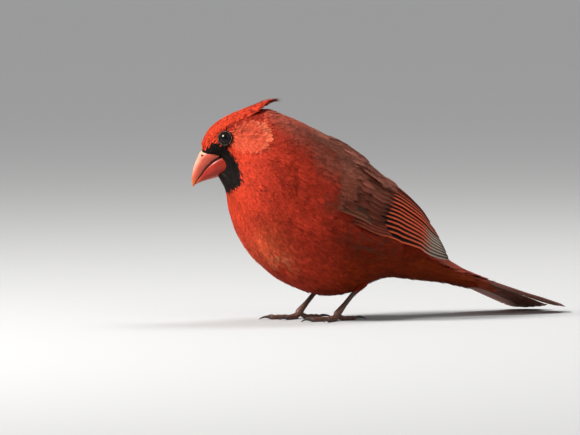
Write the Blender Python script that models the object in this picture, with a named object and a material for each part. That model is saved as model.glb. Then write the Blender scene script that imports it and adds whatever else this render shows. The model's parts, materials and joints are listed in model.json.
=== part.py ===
"""A male northern cardinal standing on the floor, life size and still.

The bird faces -X, its left side is -Y and +Z is up. Its head is turned to its own right, and its tail, which
hung below the feet, is laid down to the floor. The origin is on the floor, under the middle of its bounding box.

Lengths are millimetres, angles degrees. mesh_object() moves the origin and main() scales to metres at the end.
"""

import math
import random

import bmesh
import bpy
from mathutils import Matrix, Vector

METRES = 0.001
GAP = 0.35                            # clearance between touching pieces
MIDDLE = Vector((41.5, 0.0, 0.0))    # the box's middle, from the point on the floor between the feet

# The head is turned about a vertical axis in the neck. The turn fades out across a slanting plane.
HEAD_TURN = 30.0
TURN_AXIS = Vector((-22.0, 0.0, 0.0))
TURN_POINT = Vector((-35.0, 0.0, 84.0))
TURN_NORMAL = Vector((-0.83, 0.0, 0.55))
TURN_REACH = 14.0

# Cross-sections of head, neck, torso and tail root, from the bill's base to the tail:
# top x, top z, bottom x, bottom z, half width, height of the widest line as a share of the section
BODY = (
    (-64.6, 88.0, -55.1, 74.7, 5.6, 0.50),
    (-62.9, 93.6, -53.0, 71.4, 8.6, 0.52),
    (-59.3, 99.6, -51.0, 67.0, 11.0, 0.55),
    (-53.3, 104.2, -49.8, 61.4, 12.9, 0.58),
    (-44.0, 107.6, -48.6, 53.0, 15.0, 0.50),
    (-35.0, 109.4, -44.6, 43.2, 18.6, 0.44),
    (-26.2, 108.9, -37.8, 34.1, 22.0, 0.44),
    (-13.8, 104.3, -28.5, 26.0, 25.2, 0.45),
    (-0.6, 97.6, -16.5, 18.5, 27.2, 0.46),
    (12.6, 89.4, -2.5, 14.2, 27.8, 0.47),
    (25.0, 78.5, 9.6, 13.0, 26.2, 0.48),
    (38.0, 66.8, 21.6, 16.6, 22.4, 0.50),
    (50.0, 55.6, 33.0, 20.4, 17.5, 0.52),
    (60.0, 44.6, 44.0, 21.6, 12.6, 0.55),
    (69.8, 33.2, 58.0, 19.6, 9.6, 0.58),
    (80.6, 25.4, 75.6, 17.4, 8.6, 0.55),
    (95.0, 18.4, 93.2, 13.6, 8.0, 0.50),
)
BODY_SQUARE = 2.25                    # superellipse power of every section, 2 being an ellipse
BODY_SIDES = 28
HEAD_END, NECK_END, TORSO_END, TAIL_ROOT_END = 4.5, 6.3, 13.1, 15.7
HEAD_CUT, NECK_CUT, TAIL_CUT = 0.065, 0.045, 0.03   # the gaps at these cuts, in sections

# The bill, as sections like the body's
UPPER_BILL = (
    (-61.8, 91.0, -49.7, 87.1, 5.0, 0.30),
    (-64.7, 87.7, -54.3, 85.6, 5.4, 0.28),
    (-66.6, 83.6, -58.2, 83.3, 4.6, 0.25),
    (-68.1, 79.4, -61.7, 79.8, 3.5, 0.25),
    (-68.8, 75.6, -64.5, 76.0, 2.3, 0.28),
    (-68.9, 72.6, -66.7, 72.8, 1.2, 0.35),
    (-68.5, 70.0, -68.0, 70.2, 0.35, 0.50),
)
LOWER_BILL = (
    (-49.5, 86.8, -45.6, 80.8, 5.0, 0.60),
    (-54.2, 85.2, -50.0, 77.6, 6.1, 0.60),
    (-58.0, 82.9, -54.6, 75.4, 5.8, 0.64),
    (-61.4, 79.5, -58.9, 74.1, 4.6, 0.68),
    (-64.1, 75.8, -62.8, 73.0, 3.0, 0.70),
    (-66.3, 72.7, -65.6, 72.0, 1.4, 0.60),
    (-67.0, 71.4, -66.9, 71.2, 0.4, 0.50),
)
GAPE = Vector((-54.0, 0.0, 80.5))     # the face is pinched in round this line, by this share within this reach
GAPE_PINCH, GAPE_REACH = 0.58, 9.5
SOCKET_DEEPER = 0.25                  # how much deeper the bill's sockets are than its base, in sections
NOSTRIL = Vector((-63.6, 3.4, 86.2))
NOSTRIL_SIZE = 0.75

EYE_AT = (3.15, 62.0)                 # where the eye is on the head's surface: section and angle
EYE_RADIUS = 4.7
EYE_OUT = 1.6                         # how far the eyeball stands out of that surface
LID_RING, LID_THICK = 3.75, 0.6       # radius of the ring of lids, and of its own section

# Height of the crest's ridge over the head at each whole section. Behind section 5.5 the crest stands free
CREST_HEIGHT = (0.0, 0.0, 0.0, 0.3, 1.4, 2.9, 4.9, 6.3)
CREST_PAD = (0.9, 5.7, 40.0)          # first and last section of the crest's base, and its half angle in front
# Rows of crest feathers: count, root section, tip section, half angle at roots, at tips, width
CREST_ROWS = (
    (3, 1.7, 4.7, 20.0, 11.0, 5.8),
    (4, 2.8, 5.7, 20.0, 7.0, 4.6),
    (3, 3.8, 6.2, 10.0, 1.8, 3.6),
)

# The surface that a folded wing lies on: the body as far as section 10, then wider towards the wing tips
WING_SHELL = BODY[:11] + (
    (39.4, 69.8, 21.0, 14.0, 25.0, 0.50),
    (52.0, 60.0, 35.0, 13.5, 21.2, 0.50),
    (61.8, 49.2, 49.0, 15.6, 16.4, 0.50),
    (71.0, 42.0, 62.0, 20.4, 12.2, 0.50),
    (79.5, 37.2, 74.0, 24.4, 9.4, 0.50),
    (86.0, 34.0, 82.0, 26.0, 7.4, 0.50),
)
WING_CORE = (8.0, 11.6, 92.0, 26.0)   # first and last section, lower and upper angle from the back's ridge
WING_CORE_THICK = 3.0
WING_CORE_BACK = 0.8                  # how far the front edge lies back at both ends of its curve, in sections
WING_THIN = (8.0, 46.0, 0.3)         # over these angles the wing thins towards the back's ridge, to this share
WING_LIFT = 0.75                      # clearance of the wing over the body, facets included

# One row a tier of feathers in the left wing, from the lower edge up: name, count,
# root section, root angle, tip section, tip angle, width (each first and last), lift at root and tip, tilt
WING_TIERS = (
    ("primary", 7, (9.2, 9.9), (89, 80), (14.75, 14.1), (84, 66), (6.8, 7.4), (1.5, 1.6), 0.24),
    ("secondary", 6, (9.8, 9.8), (78, 56), (13.9, 13.5), (64, 43), (7.4, 7.8), (1.8, 2.1), 0.17),
    ("tertial", 3, (9.7, 9.5), (52, 32), (13.3, 12.2), (38, 21), (8.8, 9.4), (2.2, 2.9), 0.15),
    ("primary_covert", 2, (8.9, 8.9), (89, 85), (10.6, 10.6), (89, 84), (5.0, 5.2), (2.2, 2.8), 0.14),
    ("greater_covert", 5, (8.9, 8.9), (79, 45), (10.6, 10.9), (79, 47), (8.4, 9.2), (2.2, 3.4), 0.14),
    ("alula", 2, (8.5, 8.6), (91, 88), (9.7, 9.9), (91, 87), (4.0, 4.4), (2.0, 3.8), 0.12),
    ("median_covert", 4, (8.3, 8.3), (84, 46), (9.7, 9.7), (84, 49), (10.2, 10.8), (1.8, 4.0), 0.12),
    ("scapular", 3, (8.3, 8.6), (46, 26), (11.1, 11.2), (43, 19), (11.4, 12.0), (1.2, 4.4), 0.10),
)
PRIMARY_SHORTEST = 0.9                # the outermost primary ends this much of a section short
FLIGHT_TIERS = ("primary", "secondary", "tertial")
VANE_THICK = 0.6
# Width of a vane along its length, as a share of its full width
LONG_VANE = ((0.0, 0.6), (0.35, 0.94), (0.7, 1.0), (0.92, 0.66), (1.0, 0.2))
SHORT_VANE = ((0.0, 0.65), (0.45, 1.0), (0.84, 0.84), (1.0, 0.3))
TAIL_VANE = ((0.0, 0.45), (0.3, 0.76), (0.84, 1.0), (0.96, 0.72), (1.0, 0.3))
SHAFT_HIGH = 0.22                     # how far a flight feather's shaft stands over its vane

# The tail: its axis starts in the body and runs down to the floor, rolled so that its left side is higher
TAIL_ROOT = Vector((48.6, 0.0, 32.2))
TAIL_SLOPE = 18.9
TAIL_ROLL = 7.0
TAIL_LENGTHS = (102.0, 102.5, 101.5, 99.0, 95.5, 91.0)   # central feather to outermost
TAIL_FIRST, TAIL_STEP = 3.6, 1.55     # fan angle of the central feather, and the angle between feathers
TAIL_WIDTH = 10.6
TAIL_ROOTS = 34.0                     # where along the axis the feathers start, inside the tail's root
TAIL_LAYER = 0.42                     # height between neighbouring feathers
FLOOR_BEND = 2.6                      # height over which a feather bends to lie on the floor
TAIL_COVERTS = 5                      # over and again under the tail's root
TAIL_COVERT_WIDTH = 8.6
TAIL_COVERT_DROP = 1.0                # how much nearer the tail's plane the outermost coverts end
# Tail coverts over (1) and under (-1) the tail: first and last section, reach along the tail,
# half angle of the fan round the body, height over the tail's plane at the tips
TAIL_COVERT = {1: (13.5, 15.6, 60.0, 62.0, 3.0), -1: (13.5, 15.4, 64.0, 66.0, -0.3)}

# Legs: where the leg meets the foot and where it enters the belly, left then right
ANKLES = (Vector((4.6, -12.0, 4.2)), Vector((-4.4, 12.0, 4.2)))
HEELS = (Vector((21.4, -12.4, 22.3)), Vector((12.6, 11.6, 22.0)))
LEG_RADIUS = 1.25
LEG_SHAPE = ((0.0, 1.24), (0.12, 1.04), (0.5, 0.92), (0.82, 1.04), (0.93, 1.3), (1.0, 1.25))
FOOT_STUB = 3.2                       # how far up the leg the foot reaches
FOOT_OUT = 8.0                        # turn of each foot away from straight ahead
# Toes: name, angle from straight ahead (towards the other foot), length, radius, claw length
TOES = (
    ("inner", 33.0, 12.5, 1.15, 5.6),
    ("middle", 3.0, 17.0, 1.25, 6.4),
    ("outer", -28.0, 13.0, 1.15, 5.4),
    ("hind", 181.0, 10.5, 1.25, 7.6),
)

COLOURS = {
    "red": (0.62, 0.055, 0.03), "brown_red": (0.24, 0.06, 0.045), "bill": (0.72, 0.17, 0.09),
    "eye": (0.01, 0.008, 0.007), "leg": (0.16, 0.06, 0.045), "claw": (0.09, 0.05, 0.035),
}
ROUGHNESS = {"red": 0.75, "brown_red": 0.75, "bill": 0.35, "eye": 0.05, "leg": 0.5, "claw": 0.35}


def spline(rows, t):
    """A smooth curve through rows of numbers, one row at each whole t."""
    i = max(0, min(int(math.floor(t)), len(rows) - 2))
    f = t - i
    b, c = rows[i], rows[i + 1]
    a = rows[i - 1] if i > 0 else [2 * p - q for p, q in zip(b, c)]
    d = rows[i + 2] if i + 2 < len(rows) else [2 * q - p for p, q in zip(b, c)]
    return [
        q + 0.5 * f * (r - p + f * (2 * p - 5 * q + 4 * r - s + f * (3 * (q - r) + s - p)))
        for p, q, r, s in zip(a, b, c, d)
    ]


def turned(point):
    """The point after the head's turn, which is whole in the head and nothing in the torso."""
    side = (point - TURN_POINT).dot(TURN_NORMAL) / (2 * TURN_REACH) + 0.5
    share = max(0.0, min(1.0, side))
    share = share * share * (3 - 2 * share)
    turn = Matrix.Rotation(math.radians(-HEAD_TURN * share), 4, "Z")
    return turn @ (point - TURN_AXIS) + TURN_AXIS


def section_point(stations, t, angle, square_top, square_low, grow=0.0):
    """The point at an angle (0 top, 90 left, 180 bottom) of the section at t, moved out by grow."""
    top_x, top_z, low_x, low_z, half_width, widest = spline(stations, t)
    cos, sin = math.cos(math.radians(angle)), math.sin(math.radians(angle))
    power = 2 / (square_top if cos >= 0 else square_low)
    up = math.copysign(abs(cos) ** power, cos)
    out = math.copysign(abs(sin) ** power, sin)
    tall = math.hypot(top_x - low_x, top_z - low_z)
    share = widest + up * ((1 - widest) if up > 0 else widest) + up * grow / tall
    return Vector((
        low_x + (top_x - low_x) * share, -(half_width + grow) * out, low_z + (top_z - low_z) * share
    ))


def body_point(t, angle, out=0.0):
    """A point of the body's surface, or one raised over it by out, straight away from the section's low end."""
    point = section_point(BODY, t, angle, BODY_SQUARE, BODY_SQUARE)
    away = Vector((point.x - GAPE.x, 0.0, point.z - GAPE.z)).length
    point.y *= 1 - GAPE_PINCH * math.exp(-(away / GAPE_REACH) ** 2)
    if out:
        top_x, top_z, low_x, low_z = spline(BODY, t)[:4]
        point += Vector((top_x - low_x, 0.0, top_z - low_z)).normalized() * out
    return turned(point)


def shell_point(t, angle, lift=0.0):
    """A point of the surface under the left wing, raised by lift along that surface's normal."""
    def at(section, degrees):
        return section_point(WING_SHELL, section, degrees, BODY_SQUARE, BODY_SQUARE)
    along = at(t + 0.05, angle) - at(t - 0.05, angle)
    across = at(t, angle + 1) - at(t, angle - 1)
    return at(t, angle) + across.cross(along).normalized() * lift


def mesh_object(name, vertices, faces, colour, smooth=True):
    """An object from points, with its normals out."""
    mesh = bpy.data.meshes.new(name)
    mesh.from_pydata([tuple(v - MIDDLE) for v in vertices], [], faces)
    shape = bmesh.new()
    shape.from_mesh(mesh)
    bmesh.ops.recalc_face_normals(shape, faces=shape.faces)
    shape.to_mesh(mesh)
    shape.free()
    obj = bpy.data.objects.new(name, mesh)
    bpy.data.collections["northern_cardinal"].objects.link(obj)
    mesh.materials.append(bpy.data.materials[colour])
    if smooth:
        mesh.shade_smooth()
        mesh.set_sharp_from_angle(angle=math.radians(40))
    return obj


def ringed(rings):
    """Vertices and faces of a closed body through rings of points, with fans over both ends."""
    count = len(rings[0])
    vertices = [v for ring in rings for v in ring]
    faces = []
    for r in range(len(rings) - 1):
        for i in range(count):
            j = (i + 1) % count
            faces.append((r * count + i, r * count + j, (r + 1) * count + j, (r + 1) * count + i))
    for ring, start in ((rings[0], 0), (rings[-1], (len(rings) - 1) * count)):
        vertices.append(sum(ring, Vector()) / count)
        for i in range(count):
            faces.append((start + i, start + (i + 1) % count, len(vertices) - 1))
    return vertices, faces


def body_part(name, first, last, rings, colour):
    """The stretch of the body between two sections."""
    rows = [
        [body_point(first + (last - first) * r / (rings - 1), 360 * i / BODY_SIDES) for i in range(BODY_SIDES)]
        for r in range(rings)
    ]
    return mesh_object(name, *ringed(rows), colour)


def bill_part(name, stations, square_top, square_low, grow, colour, sides=14, rings=12):
    last = len(stations) - 1
    first = -SOCKET_DEEPER if grow else 0.0
    rows = [
        [
            turned(section_point(
                stations, first + (last - first) * r / (rings - 1), 360 * i / sides, square_top, square_low, grow
            ))
            for i in range(sides)
        ]
        for r in range(rings)
    ]
    return mesh_object(name, *ringed(rows), colour)


def tube(name, path, radii, sides, colour, on_floor=False):
    """A round body along a path. Where it stands on the floor, what would reach lower is flattened."""
    rings = []
    for i, centre in enumerate(path):
        ahead = path[min(i + 1, len(path) - 1)] - path[max(i - 1, 0)]
        level = Vector((ahead.y, -ahead.x, 0.0)).normalized()
        upper = level.cross(ahead).normalized()
        ring = []
        for k in range(sides):
            turn = 2 * math.pi * (k + 0.5) / sides
            point = centre + radii[i] * (level * math.cos(turn) + upper * math.sin(turn))
            if on_floor:
                point.z = max(point.z, 0.0)
            ring.append(point)
        rings.append(ring)
    return mesh_object(name, *ringed(rings), colour)


def strip(name, sections, colour):
    """A thin vane through sections that list its upper points from left to right, then its lower ones back.

    Both faces are split into triangles along the same diagonals."""
    count = len(sections[0])
    half = count // 2
    faces = []
    for r in range(len(sections) - 1):
        a, b = r * count, (r + 1) * count
        for i in range(count):
            j = (i + 1) % count
            if i < half:
                faces += [(a + i, a + j, b + j), (a + i, b + j, b + i)]
            else:
                faces += [(a + i, a + j, b + i), (a + j, b + j, b + i)]
    end = (len(sections) - 1) * count
    for start in (0, end):
        for i in range(half - 1):
            low = count - 1 - i
            faces.append((start + i, start + i + 1, start + low - 1, start + low))
    return mesh_object(name, [v for s in sections for v in s], faces, colour, smooth=False)


def fused(name, pieces, solver="MANIFOLD"):
    """One closed body from overlapping pieces."""
    first, others = pieces[0], pieces[1:]
    group = bpy.data.collections.new(name + "_pieces")
    for piece in others:
        group.objects.link(piece)
    join = first.modifiers.new("join", "BOOLEAN")
    join.operation = "UNION"
    join.solver = solver
    join.operand_type = "COLLECTION"
    join.collection = group
    result = applied(first, name)
    for piece in others:
        bpy.data.objects.remove(piece)
    bpy.data.collections.remove(group)
    return result


def cut(obj, cutters, solver="MANIFOLD"):
    """The object less the cutters, which are removed."""
    for cutter in cutters:
        away = obj.modifiers.new("cut", "BOOLEAN")
        away.operation = "DIFFERENCE"
        away.solver = solver
        away.object = cutter
    result = applied(obj, obj.name)
    for cutter in cutters:
        bpy.data.objects.remove(cutter)
    return result


def split_into_triangles(shape):
    """Triangles only. Where two faces would get the same diagonal, one of them is split at its middle."""
    source = shape.faces.layers.int.new("source")
    for i, face in enumerate(shape.faces):
        face[source] = i
    bmesh.ops.triangulate(shape, faces=shape.faces[:])
    for edge in [e for e in shape.edges if len(e.link_faces) > 2]:
        halves = {}
        for face in edge.link_faces:
            halves.setdefault(face[source], []).append(face)
        pair = next((faces for faces in halves.values() if len(faces) == 2), None)
        if pair is None:
            continue
        middle = shape.verts.new((edge.verts[0].co + edge.verts[1].co) / 2)
        for face in pair:
            loop = next(l for l in face.loops if l.edge == edge)
            start, end, corner = loop.vert, loop.link_loop_next.vert, loop.link_loop_prev.vert
            shape.faces.new((start, middle, corner)).smooth = True
            shape.faces.new((middle, end, corner)).smooth = True
        bmesh.ops.delete(shape, geom=pair, context="FACES_ONLY")
    shape.faces.layers.int.remove(source)


def applied(obj, name):
    """The object with its modifiers applied and only its largest closed surface kept."""
    bpy.context.view_layer.update()
    mesh = bpy.data.meshes.new_from_object(obj.evaluated_get(bpy.context.evaluated_depsgraph_get()))
    obj.modifiers.clear()
    obj.data = mesh
    obj.name = name
    mesh.name = name
    shape = bmesh.new()
    shape.from_mesh(mesh)
    left, best = set(shape.faces), []
    while left:
        found, stack = [], [left.pop()]
        while stack:
            face = stack.pop()
            found.append(face)
            for edge in face.edges:
                for other in edge.link_faces:
                    if other in left:
                        left.remove(other)
                        stack.append(other)
        best = max(best, found, key=len)
    kept = set(best)
    bmesh.ops.delete(shape, geom=[f for f in shape.faces if f not in kept], context="FACES")
    split_into_triangles(shape)
    shape.to_mesh(mesh)
    shape.free()
    mesh.shade_smooth()
    mesh.set_sharp_from_angle(angle=math.radians(40))
    return obj


def mirrored(obj, name):
    """The object's mirror image across the bird's middle plane."""
    copy = bpy.data.objects.new(name, obj.data.copy())
    bpy.data.collections["northern_cardinal"].objects.link(copy)
    for vertex in copy.data.vertices:
        vertex.co.y = -2 * MIDDLE.y - vertex.co.y
    copy.data.flip_normals()
    return copy


def eye_frame(side):
    """The eye's place on the head's surface and the way it looks out, for the side (-1 left, 1 right)."""
    t, angle = EYE_AT
    angle = angle if side < 0 else -angle
    place = body_point(t, angle)
    along = body_point(t + 0.3, angle) - body_point(t - 0.3, angle)
    across = body_point(t, angle + 8) - body_point(t, angle - 8)
    return place, across.cross(along).normalized()


def eyeball(name, side, radius):
    """A ball in the eye's place on that side."""
    place, look = eye_frame(side)
    centre = place - look * (EYE_RADIUS - EYE_OUT)
    rings, around = 8, 16
    pole = look
    level = Vector((0.0, 0.0, 1.0)).cross(pole).normalized()
    upper = pole.cross(level)
    rows = []
    for r in range(1, rings):
        polar = math.pi * r / rings
        rows.append([
            centre + radius * (
                pole * math.cos(polar)
                + (level * math.cos(2 * math.pi * k / around) + upper * math.sin(2 * math.pi * k / around))
                * math.sin(polar)
            ) for k in range(around)
        ])
    vertices, faces = ringed(rows)
    vertices[-2] = centre + pole * radius
    vertices[-1] = centre - pole * radius
    return mesh_object(name, vertices, faces, "eye")


def lid_ring(side):
    """The ring of lids round the eye, in the head's flesh."""
    place, look = eye_frame(side)
    level = Vector((0.0, 0.0, 1.0)).cross(look).normalized()
    upper = look.cross(level)
    around, section = 18, 5
    rows = []
    for k in range(around):
        turn = 2 * math.pi * k / around
        out = level * math.cos(turn) + upper * math.sin(turn)
        rows.append([
            place + out * (LID_RING + LID_THICK * math.cos(2 * math.pi * m / section))
            + look * (0.15 + LID_THICK * math.sin(2 * math.pi * m / section))
            for m in range(section)
        ])
    vertices = [v for row in rows for v in row]
    faces = []
    for k in range(around):
        for m in range(section):
            a, b = k * section, (k + 1) % around * section
            n = (m + 1) % section
            faces.append((a + m, a + n, b + n, b + m))
    return mesh_object("lid", vertices, faces, "red")


def nostril(side):
    centre = turned(Vector((NOSTRIL.x, side * NOSTRIL.y, NOSTRIL.z))) - MIDDLE
    bpy.ops.mesh.primitive_ico_sphere_add(subdivisions=2, radius=NOSTRIL_SIZE, location=centre)
    return bpy.context.object


def make_head():
    """The head with its lids, cut clear of the bill and the eyeballs."""
    head = body_part("head_whole", 0.0, HEAD_END, 12, "red")
    head = fused("head", [head, lid_ring(-1), lid_ring(1)])
    bill_part("bill_upper", UPPER_BILL, 2.0, 5.0, 0.0, "bill")
    bill_part("bill_lower", LOWER_BILL, 5.0, 2.0, 0.0, "bill")
    cut(bpy.data.objects["bill_upper"], [nostril(-1), nostril(1)])
    cutters = [
        bill_part("socket_upper", UPPER_BILL, 2.0, 5.0, 1.5 * GAP, "bill"),
        bill_part("socket_lower", LOWER_BILL, 5.0, 2.0, 1.5 * GAP, "bill"),
        eyeball("socket_left", -1, EYE_RADIUS + GAP),
        eyeball("socket_right", 1, EYE_RADIUS + GAP),
    ]
    cut(head, cutters)
    eyeball("eye_left", -1, EYE_RADIUS)
    eyeball("eye_right", 1, EYE_RADIUS)


def crest_point(t, angle, lift):
    """A point over the crest's surface, which rises from the head's sides to a ridge."""
    i = max(0, min(int(t), len(CREST_HEIGHT) - 2))
    height = CREST_HEIGHT[i] + (CREST_HEIGHT[i + 1] - CREST_HEIGHT[i]) * (t - i)
    side = min(1.0, abs(angle) / CREST_PAD[2])
    return body_point(t, angle, GAP + height * (1 - side * side) ** 1.5 + lift)


def crest_pad():
    """The base of the crest on the crown, which its feathers grow from. Its last stretch stands free."""
    first, last, reach = CREST_PAD
    along, across = 9, 7
    top, low = [], []
    for r in range(along):
        share = r / (along - 1)
        t = first + (last - first) * share
        wide = reach * (1 - 0.7 * share ** 2)
        free = max(0.0, (share - 0.86) / 0.14)
        for k in range(across):
            angle = wide * (2 * k / (across - 1) - 1)
            top.append(crest_point(t, angle, 0.95))
            low.append(body_point(t, angle, GAP + 0.35).lerp(crest_point(t, angle, 0.35), free))
    return grid_solid("crest_pad", top, low, along, across, "red")


def grid_solid(name, top, low, along, across, colour):
    """A closed body between two grids of points."""
    count = along * across
    faces = []
    for r in range(along - 1):
        for k in range(across - 1):
            i = r * across + k
            faces += [(i, i + 1, i + across + 1), (i, i + across + 1, i + across)]
            j = i + count
            faces += [(j, j + across + 1, j + 1), (j, j + across, j + across + 1)]
    rim = list(range(across))
    rim += [r * across + across - 1 for r in range(1, along)]
    rim += [(along - 1) * across + k for k in range(across - 2, -1, -1)]
    rim += [r * across for r in range(along - 2, 0, -1)]
    for i, j in zip(rim, rim[1:] + rim[:1]):
        faces.append((i, j, j + count, i + count))
    return mesh_object(name, top + low, faces, colour)


def crest_feather(row, index):
    """One feather of the crest, from the crown back towards the crest's tip."""
    count, root, tip, root_wide, tip_wide, width = CREST_ROWS[row]
    place = 2 * index / (count - 1) - 1
    tip -= 0.35 * abs(place) if row < 2 else 0.22 * (1 - place) / 2
    sections = []
    for share, wide in LONG_VANE:
        t = root + (tip - root) * share
        angle = (root_wide + (tip_wide - root_wide) * share) * place
        scale = (body_point(t, angle + 2) - body_point(t, angle - 2)).length / 4
        half = width / 2 * wide / scale
        lift = 0.75 + 0.4 * min(1.0, share * 1.6)
        thick = 0.6 * (1 - 0.3 * share)
        upper = [crest_point(t, angle + e * half, lift + SHAFT_HIGH * (1 - abs(e))) for e in (1, 0, -1)]
        lower = [crest_point(t, angle + e * half, max(0.45, lift - thick)) for e in (-1, 0, 1)]
        sections.append(upper + lower)
    return strip("crest_feather", sections, "red")


def make_crest():
    pieces = [crest_pad()]
    for row, values in enumerate(CREST_ROWS):
        pieces += [crest_feather(row, i) for i in range(values[0])]
    fused("crest", pieces)


def thinned(angle):
    """The share of its thickness that the wing keeps at an angle from the back's ridge."""
    first, last, least = WING_THIN
    share = max(0.0, min(1.0, (angle - first) / (last - first)))
    return least + (1 - least) * share * share * (3 - 2 * share)


def wing_core():
    """The folded arm and hand with their skin, which every wing feather grows from."""
    first, last, lower, upper = WING_CORE
    along, across = 8, 7
    top, low = [], []
    for r in range(along):
        for k in range(across):
            u, v = r / (along - 1), k / (across - 1)
            start = first + WING_CORE_BACK * (2 * v - 1) ** 2
            t = start + (last - start) * u
            angle = lower + (upper - lower) * v
            body = math.sin(math.pi * min(0.97, 0.02 + u * 0.95)) ** 0.9
            body *= math.sin(math.pi * (0.08 + 0.84 * v)) ** 0.5
            thick = (0.5 + (WING_CORE_THICK - 0.5) * body) * thinned(angle)
            low.append(shell_point(t, angle, WING_LIFT))
            top.append(shell_point(t, angle, WING_LIFT + max(0.5, thick)))
    return grid_solid("wing_core", top, low, along, across, "brown_red")


def wing_feather(tier, index):
    """One vane of a tier, laid on the wing's surface with its lower edge raised over the next feather."""
    name, count, roots, root_angles, tips, tip_angles, widths, lifts, tilt = tier
    place = index / (count - 1)
    flight = name in FLIGHT_TIERS
    root_t, tip_t = (a + (b - a) * place for a, b in (roots, tips))
    root_a, tip_a = (a + (b - a) * place for a, b in (root_angles, tip_angles))
    if not flight:
        root_t += WING_CORE_BACK * 0.8 * ((root_a - 64) / 28) ** 2
    full = widths[0] + (widths[1] - widths[0]) * place
    if name == "primary":
        tip_t -= PRIMARY_SHORTEST * max(0.0, 1 - index / 3.0) ** 2
    sections = []
    for share, wide in LONG_VANE if flight else SHORT_VANE:
        t = root_t + (tip_t - root_t) * share
        angle = root_a + (tip_a - root_a) * share
        width = full * wide
        if flight:
            width *= 1 - 0.22 * share
        degrees = width / 2 / ((shell_point(t, angle + 2) - shell_point(t, angle - 2)).length / 4)
        centre = (lifts[0] + (lifts[1] - lifts[0]) * share) * thinned(angle) - VANE_THICK / 2
        thick = VANE_THICK * (1 - 0.3 * share)
        upper, lower = [], []
        for edge in (1, -1):
            lift = WING_LIFT + max(thick / 2, centre + edge * tilt * width / 2)
            upper.append(shell_point(t, angle + edge * degrees, lift + thick / 2))
            lower.append(shell_point(t, angle + edge * degrees, lift - thick / 2))
        sections.append(upper + lower[::-1])
    return strip(name, sections, "brown_red")


def make_wings():
    pieces = [wing_core()]
    for tier in WING_TIERS:
        pieces += [wing_feather(tier, i) for i in range(tier[1])]
    left = fused("wing_left", pieces)
    mirrored(left, "wing_right")


def tail_point(along, across, lift):
    """A point of the tail's fan. What would reach below the floor bends and lies on it."""
    slope, roll = math.radians(TAIL_SLOPE), math.radians(TAIL_ROLL)
    ahead = Vector((math.cos(slope), 0.0, -math.sin(slope)))
    left = Vector((0.0, -math.cos(roll), math.sin(roll)))
    point = TAIL_ROOT + ahead * along + left * across
    if lift < 0:
        return point + left.cross(ahead) * lift
    if point.z < -FLOOR_BEND:
        point.z = 0.0
    elif point.z < FLOOR_BEND:
        point.z = (point.z + FLOOR_BEND) ** 2 / (4 * FLOOR_BEND)
    normal = left.cross(ahead)
    if normal.z < 0:
        normal = -normal
    flat = max(0.0, min(1.0, 1 - point.z / (2 * FLOOR_BEND)))
    normal = normal.lerp(Vector((0.0, 0.0, 1.0)), flat).normalized()
    return point + normal * lift


def tail_feather(side, index, shuffle):
    """One of the twelve tail feathers: index 0 is the central one, on top, and 5 the outermost, underneath."""
    fan = math.radians(TAIL_FIRST + TAIL_STEP * index) * side
    length = TAIL_LENGTHS[index] + shuffle.uniform(-0.7, 0.7)
    lift = TAIL_LAYER * (5 - index) + 0.35 + (0.22 if side > 0 and index == 0 else 0.0)
    sections = []
    for share, wide in TAIL_VANE:
        along = TAIL_ROOTS + (length - TAIL_ROOTS) * share
        middle = along * math.sin(fan)
        width = TAIL_WIDTH * wide
        upper, lower = [], []
        for edge in (-1, 0, 1):
            ridge = SHAFT_HIGH if edge == 0 else 0.0
            tilt = -0.05 * edge * side * width / 2
            upper.append(tail_point(along, middle + edge * width / 2, lift + tilt + VANE_THICK / 2 + ridge))
            lower.append(tail_point(along, middle + edge * width / 2, max(0.0, lift + tilt - VANE_THICK / 2)))
        sections.append(upper + lower[::-1])
    return strip("tail_feather", sections, "brown_red")


def tail_covert(over, index):
    """A feather that covers the tail's root from above (over 1) or below (over -1)."""
    place = 2 * index / (TAIL_COVERTS - 1) - 1
    first, last, reach, spread, side = TAIL_COVERT[over]
    angle = (0.0 if over > 0 else 180.0) + over * place * spread
    tip = reach * (1 - 0.12 * place * place) + 0.5 * place
    lift = side - over * TAIL_COVERT_DROP * abs(place) ** 1.5
    sections = []
    for share, wide in SHORT_VANE:
        t = first + (last - first) * share
        blend = share * share * (3 - 2 * share)
        half = TAIL_COVERT_WIDTH / 2 * wide
        points = []
        for edge in (-1, 1):
            degrees = math.degrees(half * edge / 9.0) * over
            start = body_point(t, angle + degrees)
            level = Vector((start.x, 0.0, body_point(t, 180.0 - angle).z))
            out = (start - level).normalized() if over > 0 else Vector((0.0, 0.0, -1.0))
            start += out * (-1.6 + 2.6 * share - 0.35 * abs(place + 0.07))
            end = tail_point(TAIL_ROOTS + (tip - TAIL_ROOTS) * share, place * 11.5 + half * edge, lift)
            points.append(start.lerp(end, blend))
        up = Vector((0.0, 0.0, VANE_THICK / 2))
        upper = [p + up for p in points]
        lower = [p - up for p in points]
        sections.append(upper + lower[::-1])
    return strip("tail_covert", sections, "red")


def make_tail():
    shuffle = random.Random(12)
    root = body_part("tail_root", TORSO_END + TAIL_CUT, TAIL_ROOT_END, 8, "red")
    pieces = [root]
    for index in range(6):
        pieces += [tail_feather(side, index, shuffle) for side in (-1, 1)]
    for over in (1, -1):
        pieces += [tail_covert(over, i) for i in range(TAIL_COVERTS)]
    fused("tail", pieces)


def leg_direction(side):
    return (HEELS[side] - ANKLES[side]).normalized()


def make_leg(side, word):
    """The bare leg, from the foot up into the belly feathers."""
    ankle, heel = ANKLES[side], HEELS[side]
    up = leg_direction(side)
    start = ankle + up * (FOOT_STUB + GAP)
    end = heel + up * 1.5
    path = [start.lerp(end, s) for s, r in LEG_SHAPE]
    radii = [LEG_RADIUS * r for s, r in LEG_SHAPE]
    tube("leg_" + word, path, radii, 12, "leg")
    path = [start.lerp(end, 0.3)] + path[2:] + [end + up * GAP]
    return tube("leg_socket", path, [r + GAP for r in radii[1:] + radii[-1:]], 12, "leg")


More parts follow.
